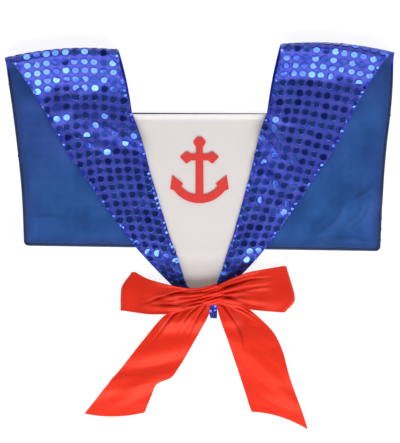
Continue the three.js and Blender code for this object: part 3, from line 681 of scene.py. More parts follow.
def satin_finish():
    f = Finish("red_satin").set(Roughness=0.36, Anisotropic=0.4, Specular_IOR_Level=0.6)
    f.set(Specular_Tint=(1.0, 0.3, 0.2, 1))
    tangent = f.node("ShaderNodeTangent", direction_type="UV_MAP", uv_map="cloth")
    f.link(tangent.outputs["Tangent"], f.shader.inputs["Tangent"])
    streaks = f.noise(40.0, 2.0)
    plain = f.mix(streaks, (0.72, 0.027, 0.012), (0.8, 0.035, 0.016))
    # Painted shade: the satin is darker where its shade value is high, in creases, pleat valleys, the loops'
    # hidden layers and the tails near the knot.
    f.colour(f.mix(f.number("painted_satin_shade"), plain, (0.42, 0.01, 0.005)))
    f.bump(f.weave(0.3), 0.08, 0.00005)
    return f.material


def thread_finish():
    return Finish("white_thread").set(Base_Color=(0.7, 0.66, 0.65, 1), Roughness=0.6).material


NET = net_finish()
FOIL = sequin_finish()
BLUE_LINING = lining_finish()
WHITE = white_finish()
RED_FELT = felt_finish()
SATIN = satin_finish()
THREAD = thread_finish()


def finish_piece(piece, slot, *nodes):
    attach(piece, "root")
    if nodes:
        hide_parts(*nodes)
    return piece


def roll_angles(steps, end=math.pi / 2):
    return np.linspace(SEAM_GAP / 2 / roll_radius, end, steps, endpoint=False)


def slope_height(side, run, rest):
    """The height of a lapel past the crest of the roll: down its slope, and smoothly to where it rests."""
    length = side.roll_run - slope_start
    t = np.clip((run - slope_start) / length, 0, 1)
    start = ROLL_HEIGHT / 2 + roll_radius * math.cos(slope_turn)
    steep = roll_steepness * length * t * (1 - t) ** 2
    return start * (1 + 2 * t) * (1 - t) ** 2 - steep + rest * (3 - 2 * t) * t**2


# The back flap and its lining

FLAP_ROWS_START = 19.0  # from the shoulder line to the flap's first whole row of sequins
FLAP_SPACING = 1.9  # of the grids of the flap and its lining


def neck_share_at(fold):
    return (BACK_NECK_DROP - fold) / (COLLAR_DEPTH - fold)


def flap_grid(offset, inset, lift):
    """Points of a layer of the back flap, its cells, and its distances from all edges and from outer ones."""
    radius = roll_radius - offset
    angles = roll_angles(ROLL_STEPS)
    fold_mid = (fold_down(LEFT, 0) + fold_down(RIGHT, 0)) / 2
    flap_length = (1 - neck_share_at(fold_mid)) * COLLAR_DEPTH
    flap_steps = edge_steps(flap_length, FLAP_SPACING) / flap_length
    neck_steps = np.linspace(0, 1, 35)[:-1]
    neck_row = len(angles) + len(neck_steps)
    # Each column lies on the left shoulder, below the neckline or on the right shoulder.
    strip = edge_steps(shoulder, FLAP_SPACING) / shoulder
    middle = np.linspace(0, 1, 72)[1:-1]
    first, last = len(strip), len(strip) + len(middle)
    across = np.concatenate([strip[::-1], 0 * middle, strip])
    middle_share = np.concatenate([0 * strip, middle, 0 * strip + 1])
    is_middle = np.zeros(len(across), bool)
    is_middle[first:last] = True
    sign = np.where(np.arange(len(across)) < first, -1, 1)
    neck_fold = lerp(fold_down(LEFT, 0), fold_down(RIGHT, 0), middle_share)
    neck_share = neck_share_at(neck_fold)
    side_fold = np.where(sign < 0, fold_down(LEFT, across), fold_down(RIGHT, across))
    fold = np.where(is_middle, neck_fold, side_fold)
    roll_share = (roll_radius - radius * np.cos(angles)) / COLLAR_DEPTH
    parts = [
        roll_share[:, None] + 0 * across,
        lerp(roll_radius / COLLAR_DEPTH, neck_share, neck_steps[:, None]),
        lerp(neck_share, 1.0, flap_steps[:, None]),
    ]
    share = np.concatenate(parts)
    to_corner = np.minimum((1 - share) * COLLAR_DEPTH, HEM_CORNER)
    corner = HEM_CORNER - np.sqrt(np.maximum(HEM_CORNER**2 - (HEM_CORNER - to_corner) ** 2, 0))
    sides = np.where(sign < 0, column_at(FLAP_SECTIONS, 1, share), column_at(FLAP_SECTIONS, 2, share))
    outer = half_width * sides - inset - corner
    to_neck = np.minimum(share / neck_share, 1)
    neck = lerp(NECK_WIDTH, BACK_NECK_WIDTH, to_neck) / 2 + inset - NECK_BOW * np.sin(math.pi * to_neck)
    x = np.where(is_middle, lerp(-neck, neck, middle_share), sign * lerp(neck, outer, across))
    down = lerp(fold, hem_down(x) - inset, share)
    # The lining's neck edge lies inset below the cloth's.
    down[neck_row] += np.where(is_middle, inset, 0)
    z = CLOTH / 2 + offset + lift + flap_lift(x, down)
    rolled = ROLL_HEIGHT / 2 - radius * np.sin(angles)
    z[: len(angles)] = (rolled + lift * np.sin(angles) ** 2)[:, None]
    cells = np.ones((share.shape[0] - 1, share.shape[1] - 1), bool)
    cells[:neck_row, first - 1 : last] = False
    outside = np.minimum(outer - sign * x, hem_down(x) - inset - down)
    past_corner = np.maximum(np.abs(x) - BACK_NECK_WIDTH / 2, 0)
    below_neck = np.hypot(past_corner, np.maximum(down - BACK_NECK_DROP, 0))
    edge = np.minimum(outside, np.where(share < neck_share, np.abs(x) - neck, below_neck))
    # By the fold the cloth goes on into the lapel and has no outer edge.
    outside = outside + np.where(share < 0.09, 1e3, 0)
    return grid(x, down, z), cells, np.maximum(edge, 0), np.maximum(outside, 0)


def crease_height(x, down, creases):
    """The height of narrow creases that run along short paths, and how deep in the shade their sides are."""
    total, shaded = np.zeros_like(x), np.zeros_like(x)
    t = np.linspace(0, 1, 60)
    for height, width, path in creases:
        places = np.array(path) * (half_width, COLLAR_DEPTH)
        knots = np.linspace(0, 1, len(places))
        route = [curve_at(list(zip(knots, places[:, k])), t) for k in (0, 1)]
        nearest = np.full(x.shape, 1e9)
        share = np.zeros(x.shape)
        for at, route_x, route_down in zip(t, *route):
            gap = np.hypot(x - route_x, down - route_down)
            share = np.where(gap < nearest, at, share)
            nearest = np.minimum(nearest, gap)
        taper = np.sin(math.pi * np.clip(0.08 + 0.84 * share, 0, 1))
        total = total + height * taper * np.exp(-((nearest / width) ** 2))
        shaded = np.maximum(shaded, min(height, 1) * taper * np.exp(-((nearest / (0.55 * width)) ** 2)))
    return total, shaded


def flat_places(points):
    """Where each point of a grid lies on the uncut cloth: across it, and along it by arc length."""
    lengths = np.linalg.norm(np.diff(points, axis=0), axis=2)
    along = np.concatenate([np.zeros((1, points.shape[1])), np.cumsum(lengths, axis=0)])
    return np.stack([points[..., 0], along], axis=-1)


flap_points, flap_cells, flap_edge, flap_outside = flap_grid(0.0, 0.0, 0.25)
flap_points[..., 2] += 0.12 * np.clip(flap_edge / 10, 0, 1) * (1 + grid_ripple(flap_points, 3, 26))
flap_outside = flap_outside / (1 + 0.16 * grid_ripple(flap_points, 5, 14))
flap_turned = np.sqrt(np.maximum(1 - ((flap_outside - EDGE_ROLL / 2) / (EDGE_ROLL / 2)) ** 2, 0))
puckers = 1 + 0.1 * grid_ripple(flap_points, 4, 8)
flap_round = rounded(flap_edge, 0.9)
flap_above = FLAP_HALF * flap_round + 1.15 * flap_turned**0.6 * puckers * (flap_outside < EDGE_ROLL)
flap_flat = flat_places(flap_points)
# The turned value paints the rolled edge dark, partly as the cloth's wrong side and partly as painted shade
# of the seam.
flap_cloth = add_cloth(
    "back_flap_cloth",
    flap_points,
    flap_above,
    FLAP_HALF * flap_round,
    NET,
    flap_cells,
    {"turned": (flap_outside < EDGE_ROLL + 0.1) * 1.0},
    flap_flat,
)
finish_piece(flap_cloth, "sequinned_cloth", "back_flap")

lining_points, lining_cells, lining_edge, _ = flap_grid((CLOTH + LINING) / 2 + LAYER_GAP, 2.6, 0.0)
soft = np.clip(lining_edge / 12, 0, 1)
press_across = 0.5 + 0.5 * np.cos(2 * math.pi * lining_points[..., 0] / SEQUIN_ACROSS)
press_down = 0.5 + 0.5 * np.cos(2 * math.pi * (lining_points[..., 1] - FLAP_ROWS_START) / SEQUIN_DOWN)
patchy = np.clip(0.75 + 0.5 * grid_ripple(lining_points, 13, 55), 0.1, 1.3)
lining_press = press_across * press_down * patchy * soft
lining_rise, lining_shade = crease_height(lining_points[..., 0], lining_points[..., 1], LINING_CREASES)
seam_pull = grid_ripple(lining_points, 12, 9) * np.exp(-lining_edge / 7)
lining_points[..., 2] += PRESS_THROUGH * lining_press + lining_rise
lining_points[..., 2] += 0.28 * soft * grid_ripple(lining_points, 11, 38) + 0.12 * seam_pull
lining_points[..., 2] -= 0.35 * (1 - rounded(lining_edge, 3.0))
lining_cloth = add_cloth(
    "flap_lining_cloth",
    lining_points,
    LINING_HALF * rounded(lining_edge, 0.6),
    LINING_HALF,
    BLUE_LINING,
    lining_cells,
    # The edge, press and crease values also give the lining its painted shade.
    {"edge": lining_edge, "press": lining_press, "painted_crease_shade": lining_shade},
    flat_places(lining_points),
)
finish_piece(lining_cloth, "lining_cloth", "flap_lining")


# The lapels


def lapel_mounds(side, x, runs, folds):
    """The heights of a lapel's folds, one at a time."""
    for across, share, turn, length, width, rise in folds:
        middle = share * FRONT_LENGTH
        dx = x - lapel_x(side, middle, across)
        yield rise * mound(dx, runs - middle, turn, length * shoulder, width * shoulder)


def lapel_grid(side, seed):
    reach = side.sections[-1][0] * FRONT_LENGTH
    angles = roll_angles(20, math.pi / 2 + slope_turn)
    flat_runs = np.linspace(slope_start, reach, int((reach - slope_start) / 1.25))
    runs = np.concatenate([ROLL_CREST * (1 - np.cos(angles)), flat_runs])[:, None]
    across = (edge_steps(shoulder * 0.7, 1.25, 2.6) / (shoulder * 0.7))[None, :: side.sign]
    x = lapel_x(side, runs, across)
    down = runs + fold_down(side, across) * (1 - runs / FRONT_LENGTH)
    width = lapel_width(side, runs)
    near_panel = 1 - smooth(across * width, SEAM_ALLOWANCE, SEAM_ALLOWANCE + STEP_RUN)
    rest = underlay(x, down) + LAYER_GAP + CLOTH / 2 + near_panel * (PANEL + LAYER_GAP)
    wrinkles = np.zeros_like(x)
    for height in lapel_mounds(side, x, runs, side.folds):
        wrinkles = np.maximum(wrinkles, LAPEL_FOLD_HEIGHT * height)
    wrinkles = wrinkles + sum(lapel_mounds(side, x, runs, side.small_folds))
    z = slope_height(side, runs, rest) + wrinkles
    z[: len(angles)] = ROLL_HEIGHT / 2 + roll_radius * np.sin(angles)[:, None]
    edge = np.minimum(np.minimum(across * width, (1 - across) * width), reach - runs)
    free = smooth(runs, 8.0, 30.0) * np.clip(edge / 6, 0, 1)
    z = z + 0.22 * free * ripple(x, down, seed, 24) + 0.1 * free * ripple(x, down, seed + 1, 11)
    return grid(x, down, z), edge


def row_places(side, length, start, middle_at, seed):
    """The flat places of a lapel's sequins, row by row, before those off the cloth are left out."""
    random = np.random.default_rng(seed)
    step = 0.5
    along = np.arange(0, length + 30, step)
    turn = np.radians(np.interp(along, *zip(*side.grain)))
    middle = np.stack([middle_at - np.cumsum(np.sin(turn)) * step, np.cumsum(np.cos(turn)) * step], axis=1)
    places = []
    for arc in np.arange(start, length + 25, SEQUIN_DOWN):
        k = min(int(arc / step), len(along) - 1)
        way = np.array([math.cos(turn[k]), math.sin(turn[k])])
        for n in range(-ROW_HALF, ROW_HALF + 1):
            places.append(middle[k] + way * n * SEQUIN_ACROSS + random.normal(0, 0.22, 2))
    return np.array(places)


def nearest_distance(flat, places):
    """The distance on the flat cloth from each point of a grid to the nearest of some places."""
    nearest = np.full(flat.shape[:2], 1e9)
    for place in places:
        nearest = np.minimum(nearest, np.hypot(flat[..., 0] - place[0], flat[..., 1] - place[1]))
    return nearest


def add_lapel(side, node, seed, start, middle_at, row_seed):
    """The cloth of a lapel, and what its sequins need: its points, flat places and edge, and their places."""
    points, edge = lapel_grid(side, seed)
    flat = flat_places(points)
    places = row_places(side, float(flat[..., 1].max()), start, middle_at, row_seed)
    # Painted shade: the net is darker near each sequin, where the sequin shades it, and paler where no sequin
    # covers or shades it.
    between = smooth(nearest_distance(flat, places), 3.9, 5.1)
    # The turned hem makes a low ridge along the edge.
    ridge = 0.32 * np.exp(-(((edge - 1.3) / 0.9) ** 2))
    thickness = rounded(edge, 0.8)
    above, below = (LAPEL_HALF + ridge) * thickness, LAPEL_HALF * thickness
    cloth = add_cloth(node + "_cloth", points, above, below, NET, None, {"between": between}, flat)
    return finish_piece(cloth, "sequinned_cloth", node), (points, flat, edge, places)


# Sequins


def surface_reader(points, flat, above):
    """Reads a grid of cloth at flat places: the point and the normal there, the cell, and the miss."""
    normals = normals_of(points)
    tops = points + normals * above
    right, down = [np.gradient(points, axis=axis) for axis in (1, 0)]
    flat_right, flat_down = [np.gradient(flat, axis=axis) for axis in (1, 0)]

    def read(at):
        i, j = divmod(int(np.argmin(((flat - at) ** 2).sum(2))), flat.shape[1])
        jacobian = np.stack([flat_right[i, j], flat_down[i, j]], axis=1)
        shift = np.linalg.lstsq(jacobian, at - flat[i, j], rcond=None)[0]
        point = tops[i, j] + shift[0] * right[i, j] + shift[1] * down[i, j]
        return point, normals[i, j], (i, j), float(np.linalg.norm(at - flat[i, j]))

    return read


def ring_faces(rings, sides, closed=False):
    """Quads from each ring of points to the next one, and from the last to the first if closed."""
    faces = []
    for r in range(rings if closed else rings - 1):
        s = (r + 1) % rings
        for i in range(sides):
            k = (i + 1) % sides
            faces.append((r * sides + i, s * sides + i, s * sides + k, r * sides + k))
    return faces


def disc(point, normal, radius, turn, sides):
    """A thin cupped disc with a hole in its middle, as points and faces that start at 0."""
    normal = normal / np.linalg.norm(normal)
    right = np.cross(np.array([0.0, 1.0, 0.0]), normal)
    if np.linalg.norm(right) < 1e-3:
        right = np.array([1.0, 0.0, 0.0])
    right /= np.linalg.norm(right)
    ahead = np.cross(normal, right)
    angles = turn + 2 * math.pi * np.arange(sides) / sides
    rim = np.cos(angles)[:, None] * right + np.sin(angles)[:, None] * ahead
    low, high = SEQUIN_LIFT, SEQUIN_LIFT + SEQUIN_THICKNESS
    profile = [
        (SEQUIN_HOLE, low),
        (SEQUIN_HOLE, high),
        (radius * 0.62, high + 0.25 * SEQUIN_CUP),
        (radius * 0.96, high + SEQUIN_CUP),
        (radius, low + SEQUIN_CUP + 0.5 * SEQUIN_THICKNESS),
        (radius * 0.96, low + SEQUIN_CUP),
    ]
    made = np.concatenate([point + out * rim + height * normal for out, height in profile])
    made[:, 2] += max(FLOOR_GAP - made[:, 2].min(), 0)
    return made, ring_faces(len(profile), sides, closed=True)


def join(shapes):
    """The points and faces of many shapes as those of one."""
    faces = []
    total = 0
    for made, polygons in shapes:
        faces.extend(tuple(v + total for v in polygon) for polygon in polygons)
        total += len(made)
    return np.concatenate([made for made, _ in shapes]), faces


def join_sequins(name, sequins):
    """One piece from sequins, each with its own shade."""
    points, faces = join([shape for shape, _ in sequins])
    shades = [np.full(len(made), shade) for (made, _), shade in sequins]
    piece = add_mesh(name, points, faces, FOIL, {"shade": np.concatenate(shades)})
    return finish_piece(piece, "sequinned_cloth")


def add_sequins(name, points, flat, edge, places, seed):
    """The sequins of a lapel, at flat places of its cloth."""
    random = np.random.default_rng(seed)
    read = surface_reader(points, flat, LAPEL_HALF)
    left_limit, right_limit = float(flat[..., 0].min()), float(flat[..., 0].max())
    # Here and there on the slope the cloth is looser, and its sequins lean back.
    loose = np.clip(ripple(places[:, 0], places[:, 1], seed, 40, 5), 0, 1.3)
    sequins = []
    for at, slack in zip(places, loose):
        if not left_limit < at[0] < right_limit:
            continue
        point, normal, (i, j), miss = read(at)
        if miss > 1.6 or edge[i, j] < 0.5:
            continue
        on_slope = float(smooth(normal[1], 0.08, 0.3))
        crowded = float(smooth(at[1], 195, 255))
        tilt = random.normal(0, math.radians(1.5 + 3.5 * on_slope + 7 * crowded), 2)
        if random.random() < GLINT_SHARE:
            tilt = random.normal(0, math.radians(7), 2)
        if edge[i, j] < CUT_STRIP:
            # A cut sequin lies round the turned edge.
            outwards = -1 if j < flat.shape[1] / 2 else 1
            tilt = np.array([outwards * random.uniform(0.2, 0.8), random.normal(0.15, 0.2)])
        leaning = normal + np.array([tilt[0], tilt[1] - LEAN_BACK * on_slope * slack, 0])
        radius = min(SEQUIN_RADIUS * random.uniform(0.97, 1.03), edge[i, j] + CUT_REACH)
        sequins.append((disc(point, leaning, radius, random.uniform(0, 1), 20), random.random()))
    # Along both edges, cut sequins are caught in the seam and lean outwards.
    normals = normals_of(points)
    for way in (1, -1):
        for i in range(6, points.shape[0] - 4, 4):
            if random.random() < 0.35:
                continue
            j = int(np.argmin(np.abs(edge[i, : edge.shape[1] // 2] - CUT_STRIP)))
            j = j if way > 0 else edge.shape[1] - 1 - j
            lean = np.array([-way * random.uniform(0.05, 0.5), random.uniform(-0.2, 0.75), 0.0])
            start = points[i, j] + normals[i, j] * (LAPEL_HALF + 0.3)
            radius = random.uniform(1.1, 1.9)
            made = disc(start, normals[i, j] + lean, radius, random.uniform(0, 1), 12)
            sequins.append((made, random.random()))
    return join_sequins(name, sequins)


left_cloth, left_grid = add_lapel(LEFT, "left_lapel", 21, 3.4, -104.6, 41)
right_cloth, right_grid = add_lapel(RIGHT, "right_lapel", 31, 5.2, 108.0, 42)
left_sequins = add_sequins("left_lapel_sequins", *left_grid, 71)
right_sequins = add_sequins("right_lapel_sequins", *right_grid, 72)


def add_flap_sequins():
    """Rows of sequins on the back flap's outer face, which lies down and comes up over the rolls."""
    random = np.random.default_rng(43)
    normals = -normals_of(flap_points)
    under = flap_points + normals * FLAP_HALF
    # The rows go on over the roll by arc length, up to the fold.
    keys = flap_points[..., :2].copy()
    along = flap_flat[..., 1]
    keys[:ROLL_STEPS, :, 1] = along[:ROLL_STEPS] - along[ROLL_STEPS] + keys[ROLL_STEPS, :, 1]
    on_cloth = np.zeros(along.shape, bool)
    on_cloth[:-1, :-1] |= flap_cells
    on_cloth[1:, 1:] |= flap_cells
    free = on_cloth & (flap_edge >= 2.2) & (along >= FOLD_MARGIN)
    sequins = []
    for down in np.arange(FLAP_ROWS_START - 3 * SEQUIN_DOWN, COLLAR_DEPTH + 2, SEQUIN_DOWN):
        for n in range(-ROW_HALF, ROW_HALF + 1):
            at = np.array([n * SEQUIN_ACROSS, down]) + random.normal(0, 0.25, 2)
            i, j = divmod(int(np.argmin(((keys - at) ** 2).sum(2))), keys.shape[1])
            if not free[i, j] or np.linalg.norm(keys[i, j] - at) > 1.8:
                continue
            radius = min(SEQUIN_RADIUS, flap_edge[i, j] + 0.6)
            made = disc(under[i, j], normals[i, j], radius, random.uniform(0, 1), 14)
            sequins.append((made, random.random()))
    return join_sequins("back_flap_sequins", sequins)


flap_sequins = add_flap_sequins()


# The front panel with its turned hem, stitches and anchor


def inner_edges(down):
    """Where the inner edges of both lapels are, at one distance down."""
    return [lapel_x(side, run_at(side, down, 0.0), 0.0) for side in (LEFT, RIGHT)]


def add_panel():
    top = PANEL_DROP - HEM_REACH
    length = FRONT_LENGTH - PANEL_TUCK - top
    down = (top + edge_steps(length, 1.6, 3.0))[:, None]
    left, right = inner_edges(down)
    left, right = left - SEAM_ALLOWANCE, right + SEAM_ALLOWANCE
    share = (edge_steps(150.0, 1.8, 2.0) / 150.0)[None, :]
    x = lerp(left, right, share)
    side_edge = np.minimum(x - left, right - x)
    middle = smooth(side_edge, SEAM_ALLOWANCE, SEAM_ALLOWANCE + 14)
    z = panel_top(x, down) - PANEL / 2 + 0.1 * middle * ripple(x, down, 51, 30)
    points = grid(x, down, z)
    from_top = down - top + 0 * x
    hem = 1 - smooth(from_top, PANEL_HEM - 0.5, PANEL_HEM + 0.1)
    edge = np.minimum(side_edge, np.minimum(from_top, length - from_top))
    above = (0.4 + 0.35 * hem) * rounded(edge, 0.8)
    panel = add_cloth("front_panel_cloth", points, above, 0.4, WHITE, None, {"hem": hem}, flat_places(points))
    return finish_piece(panel, "white_cloth", "front_panel"), points


def stitch(start, end, height, sides=8, rings=6):
    """One short raised stitch between two points."""
    up = np.array([0.0, 0.0, 1.0])
    aside = np.cross(up, end - start) / np.linalg.norm(end - start)
    t = np.linspace(0, 1, rings)[:, None, None]
    angle = (2 * math.pi * np.arange(sides) / sides)[:, None]
    swell = height * np.sqrt(np.maximum(np.sin(math.pi * t), 0.12))
    made = start + (end - start) * t + swell * (np.cos(angle) * aside + (np.sin(angle) + 0.6) * up)
    first, last = tuple(range(sides)), tuple(range((rings - 1) * sides, rings * sides))
    return made.reshape(-1, 3), ring_faces(rings, sides) + [first, last[::-1]]


def add_stitches():
    """The line of stitches that holds the panel's hem."""
    down = PANEL_DROP + PANEL_HEM - 1.4
    left, right = inner_edges(down)
    made = []
    for x in np.arange(float(left) + 1, float(right) - 3, 3.0):
        top = float(panel_top(np.float64(x), np.float64(down))) - PANEL / 2 + 0.72
        made.append(stitch(np.array([x, down, top]), np.array([x + 2.2, down, top]), 0.16))
    return finish_piece(add_mesh("panel_stitches", *join(made), THREAD), "white_cloth")


def rounded_outline(corners, radius, steps=5):
    """A closed outline with each of its sharp corners rounded."""
    made = []
    for k, here in enumerate(corners):
        before = corners[k - 1] - here
        after = corners[(k + 1) % len(corners)] - here
        b, a = np.linalg.norm(before), np.linalg.norm(after)
        cut = min(radius, 0.42 * b, 0.42 * a)
        start, end = here + before / b * cut, here + after / a * cut
        for s in range(steps + 1):
            t = s / steps
            made.append((1 - t) ** 2 * start + 2 * t * (1 - t) * here + t**2 * end)
    return made


def add_anchor():
    """The anchor as a thick embroidered patch with a rounded rim."""

    def arc(radius, start, end, steps):
        out = np.linspace(start, end, steps)
        return [(o, -0.03 - math.sqrt(radius**2 - o**2)) for o in out]

    half = ANCHOR_HEAD + arc(0.345, 0.06, 0.27, 16) + ANCHOR_FLUKE + arc(0.47, 0.376, 0.03, 24)
    outline = half + [(-out, up) for out, up in reversed(half)]
    outline = rounded_outline(np.array(outline) * EMBLEM_HEIGHT, 1.0)
    curve = bpy.data.curves.new("anchor_outline", "CURVE")
    curve.dimensions = "2D"
    curve.fill_mode = "BOTH"
    spline = curve.splines.new("POLY")
    spline.points.add(len(outline) - 1)
    for point, (out, up) in zip(spline.points, outline):
        point.co = (out, up, 0, 1)
    spline.use_cyclic_u = True
    rim = 0.34
    curve.bevel_depth = rim
    curve.bevel_resolution = 3
    curve.offset = -rim
    curve.extrude = EMBLEM / 2 - rim
    holder = add_object("anchor_outline", curve)
    bpy.context.view_layer.update()
    shape = bpy.data.meshes.new_from_object(holder.evaluated_get(bpy.context.evaluated_depsgraph_get()))
    flat = np.array([v.co for v in shape.vertices], float)
    polygons = [tuple(p.vertices) for p in shape.polygons]
    bpy.data.objects.remove(holder)
    lowest = float(panel_top(np.float64(0), np.float64(emblem_down))) - 0.05
    placed = grid(flat[:, 0], emblem_down - flat[:, 1], flat[:, 2] + lowest + EMBLEM / 2)
    piece = add_mesh("anchor_patch", placed, polygons, RED_FELT, None, flat[:, :2] / 100)
    return finish_piece(piece, "red_cloth", "anchor_emblem")


panel_cloth, panel_points = add_panel()
panel_stitches = add_stitches()
anchor_patch = add_anchor()


# The bow

knot_bottom = float(bow_floor(np.float64(BOW_SIDE), np.float64(knot_down)))


def ribbon_creases(t, across, span, creases):
    """The height of creases in a ribbon, each a valley between two low ridges, and the depth of their
    valleys, which the satin also shows as painted shade.
    """
    height = np.zeros(np.broadcast(t, across).shape)
    depth = np.zeros_like(height)
    for fall, width, path in creases:
        first, last = path[0][0], path[-1][0]
        fade = smooth(t, first - 0.04, first + 0.04) * (1 - smooth(t, lerp(first, last, 0.55), last))
        gap = (across - curve_at(path, t)) * span
        valley = fade * np.exp(-((gap / width) ** 2))
        swell = fade * np.exp(-((gap / (3 * width)) ** 2))
        height = height + fall * (swell - valley)
        depth = depth + valley * min(fall / 2, 1)
    return height, depth


def add_ribbon(node, points, across, half, painted_satin_shade):
    """A ribbon from a grid of points along it and across it, and its length in metres."""
    edge = RIBBON_WIDTH * np.minimum(across - across.min(), across.max() - across) + 0 * points[..., 0]
    half = (half + SELVEDGE_RISE * (edge < SELVEDGE)) * rounded(edge, 0.5)
    flat = flat_places(points)
    flat[..., 0] = RIBBON_WIDTH * across
    ribbon = add_cloth(node + "_ribbon", points, half, half, SATIN, None, {"painted_satin_shade": painted_satin_shade}, flat)
    return finish_piece(ribbon, "satin_ribbon", node), round(float(flat[-1, :, 1].mean()) / 1000, 3)


def ribbon_steps():
    return (edge_steps(RIBBON_WIDTH, 0.9, 1.2) / RIBBON_WIDTH)[None, :]


def add_loop(node, sign, length, sections, ends, creases, seed):
    across = ribbon_steps()[:, ::sign]
    t = np.linspace(0, 1, 62)[:, None]
    out = lerp(sections[0][0], 1, t)
    top_edge = column_at(sections, 1, out)
    low_edge = -column_at(sections, 2, out)
    down = knot_down - RIBBON_WIDTH * lerp(top_edge, low_edge, across)
    reach = curve_at(ends, across) * length - LOOP_END_HEIGHT / 2 - RIBBON / 2
    x = BOW_SIDE + sign * lerp(sections[0][0] * length, reach, t)
    over_tail = 1 - smooth(np.abs(x - BOW_SIDE), RIBBON_WIDTH, RIBBON_WIDTH + 2 * STEP_RUN)
    lower = bow_floor(x, down) + (RIBBON + LAYER_GAP) * over_tail + RIBBON / 2 + LAYER_GAP
    tucks = (1 + np.cos(2 * math.pi * 4 * across + 0.6)) * (1 - smooth(t, 0.1, 0.95))
    below = grid(x, down, lower + tucks)
    knot_side = knot_bottom + 0.7 * KNOT_HEIGHT
    outside = lower + lerp(LOOP_HEIGHT, LOOP_END_HEIGHT, smooth(t, 0.6, 1))
    pleats = np.cos(2 * math.pi * 2.5 * across + 0.9 * np.sin(5 * t + seed)) * (1 - smooth(t, 0.1, 0.9)) * 1.5
    gathers = 0.9 * np.cos(2 * math.pi * 5 * across + 1.1 + 0.6 * np.sin(7 * t)) * (1 - smooth(t, 0.1, 0.8))
    waves = 0.5 * smooth(t, 0.2, 0.6) * ripple(x, down, seed, 30)
    folded, deeper = ribbon_creases(t, across, RIBBON_WIDTH * (top_edge - low_edge), creases)
    higher = lerp(knot_side, outside, smooth(t, 0, 0.5)) + pleats + gathers + waves + folded - deeper
    above = grid(x, down, np.maximum(higher, lower + LOOP_ROOM))
    # The turn at the loop's end joins the lower layer to the upper one.
    radius = (above[-1, :, 2] - below[-1, :, 2]) / 2
    turns = []
    for angle in np.linspace(0, math.pi, 18)[1:-1]:
        row = below[-1].copy()
        row[:, 0] += sign * radius * math.sin(angle)
        row[:, 2] = (above[-1, :, 2] + below[-1, :, 2]) / 2 - radius * math.cos(angle)
        turns.append(row)
    points = np.concatenate([below, np.array(turns), above[::-1]])
    # Painted shade: the lower layer and the turn are darker, and the upper layer is darker in its pleat
    # valleys, wave troughs and creases.
    painted_satin_shade = np.full(points.shape[:2], 0.45)
    shade = np.clip(0.38 - 0.14 * (pleats + gathers) - 0.12 * waves + 0.55 * deeper, 0, 1)
    painted_satin_shade[-len(t) :] = shade[::-1]
    return add_ribbon(node, points, across, RIBBON_HALF, painted_satin_shade)


def add_tail(node, sections, bulge, slant, creases, ridges, seed):
    table = [(row / (len(sections) - 1), *section) for row, section in enumerate(sections)]
    t = np.linspace(0, 1, 120)[:, None]
    across = ribbon_steps() - 0.5
    tilt = np.radians(column_at(table, 4, t))
    span = RIBBON_WIDTH * column_at(table, 3, t)
    stands = RIBBON_WIDTH * bulge * smooth(t, 0.85, 1) * (1 - (2 * across) ** 2)
    x = BOW_SIDE + TAIL_DROP * column_at(table, 1, t) + across * span * np.cos(tilt)
    down = knot_down + TAIL_DROP * column_at(table, 2, t) + across * span * np.sin(tilt) + stands
    by_knot = (1 - smooth(t, 0.0, 0.5)) * smooth(t, 0, 0.12)
    pleats = 0.8 * (1 + np.cos(2 * math.pi * 2.2 * across + 0.8)) * by_knot
    waves = 0.5 * smooth(t, 0.2, 0.5) * (1 + ripple(x, down, seed, 48, 5)) * (1 - smooth(t, 0.9, 1))
    lift = column_at(table, 5, np.clip(t + slant * across, 0, 1))
    z = bow_floor(x, down) + TAIL_WAVE * lift + RIBBON / 2
    folded, deeper = ribbon_creases(t, across, span, creases)
    for out, fall, turn, length, width, rise in ridges:
        dx = x - BOW_SIDE - TAIL_DROP * out
        d_down = down - knot_down - TAIL_DROP * fall
        z = z + rise * mound(dx, d_down, turn, TAIL_DROP * length, TAIL_DROP * width)
    z = z + pleats * 0.6 + np.maximum(waves, 0) * 0.6 + folded
    # Painted shade: darker near the knot, under the loops, and in the creases.
    painted_satin_shade = np.clip(0.45 * (1 - smooth(t, 0.0, 0.35)) + 0.8 * deeper, 0, 1)
    return add_ribbon(node, grid(x, down, z), across, TAIL_HALF, painted_satin_shade)


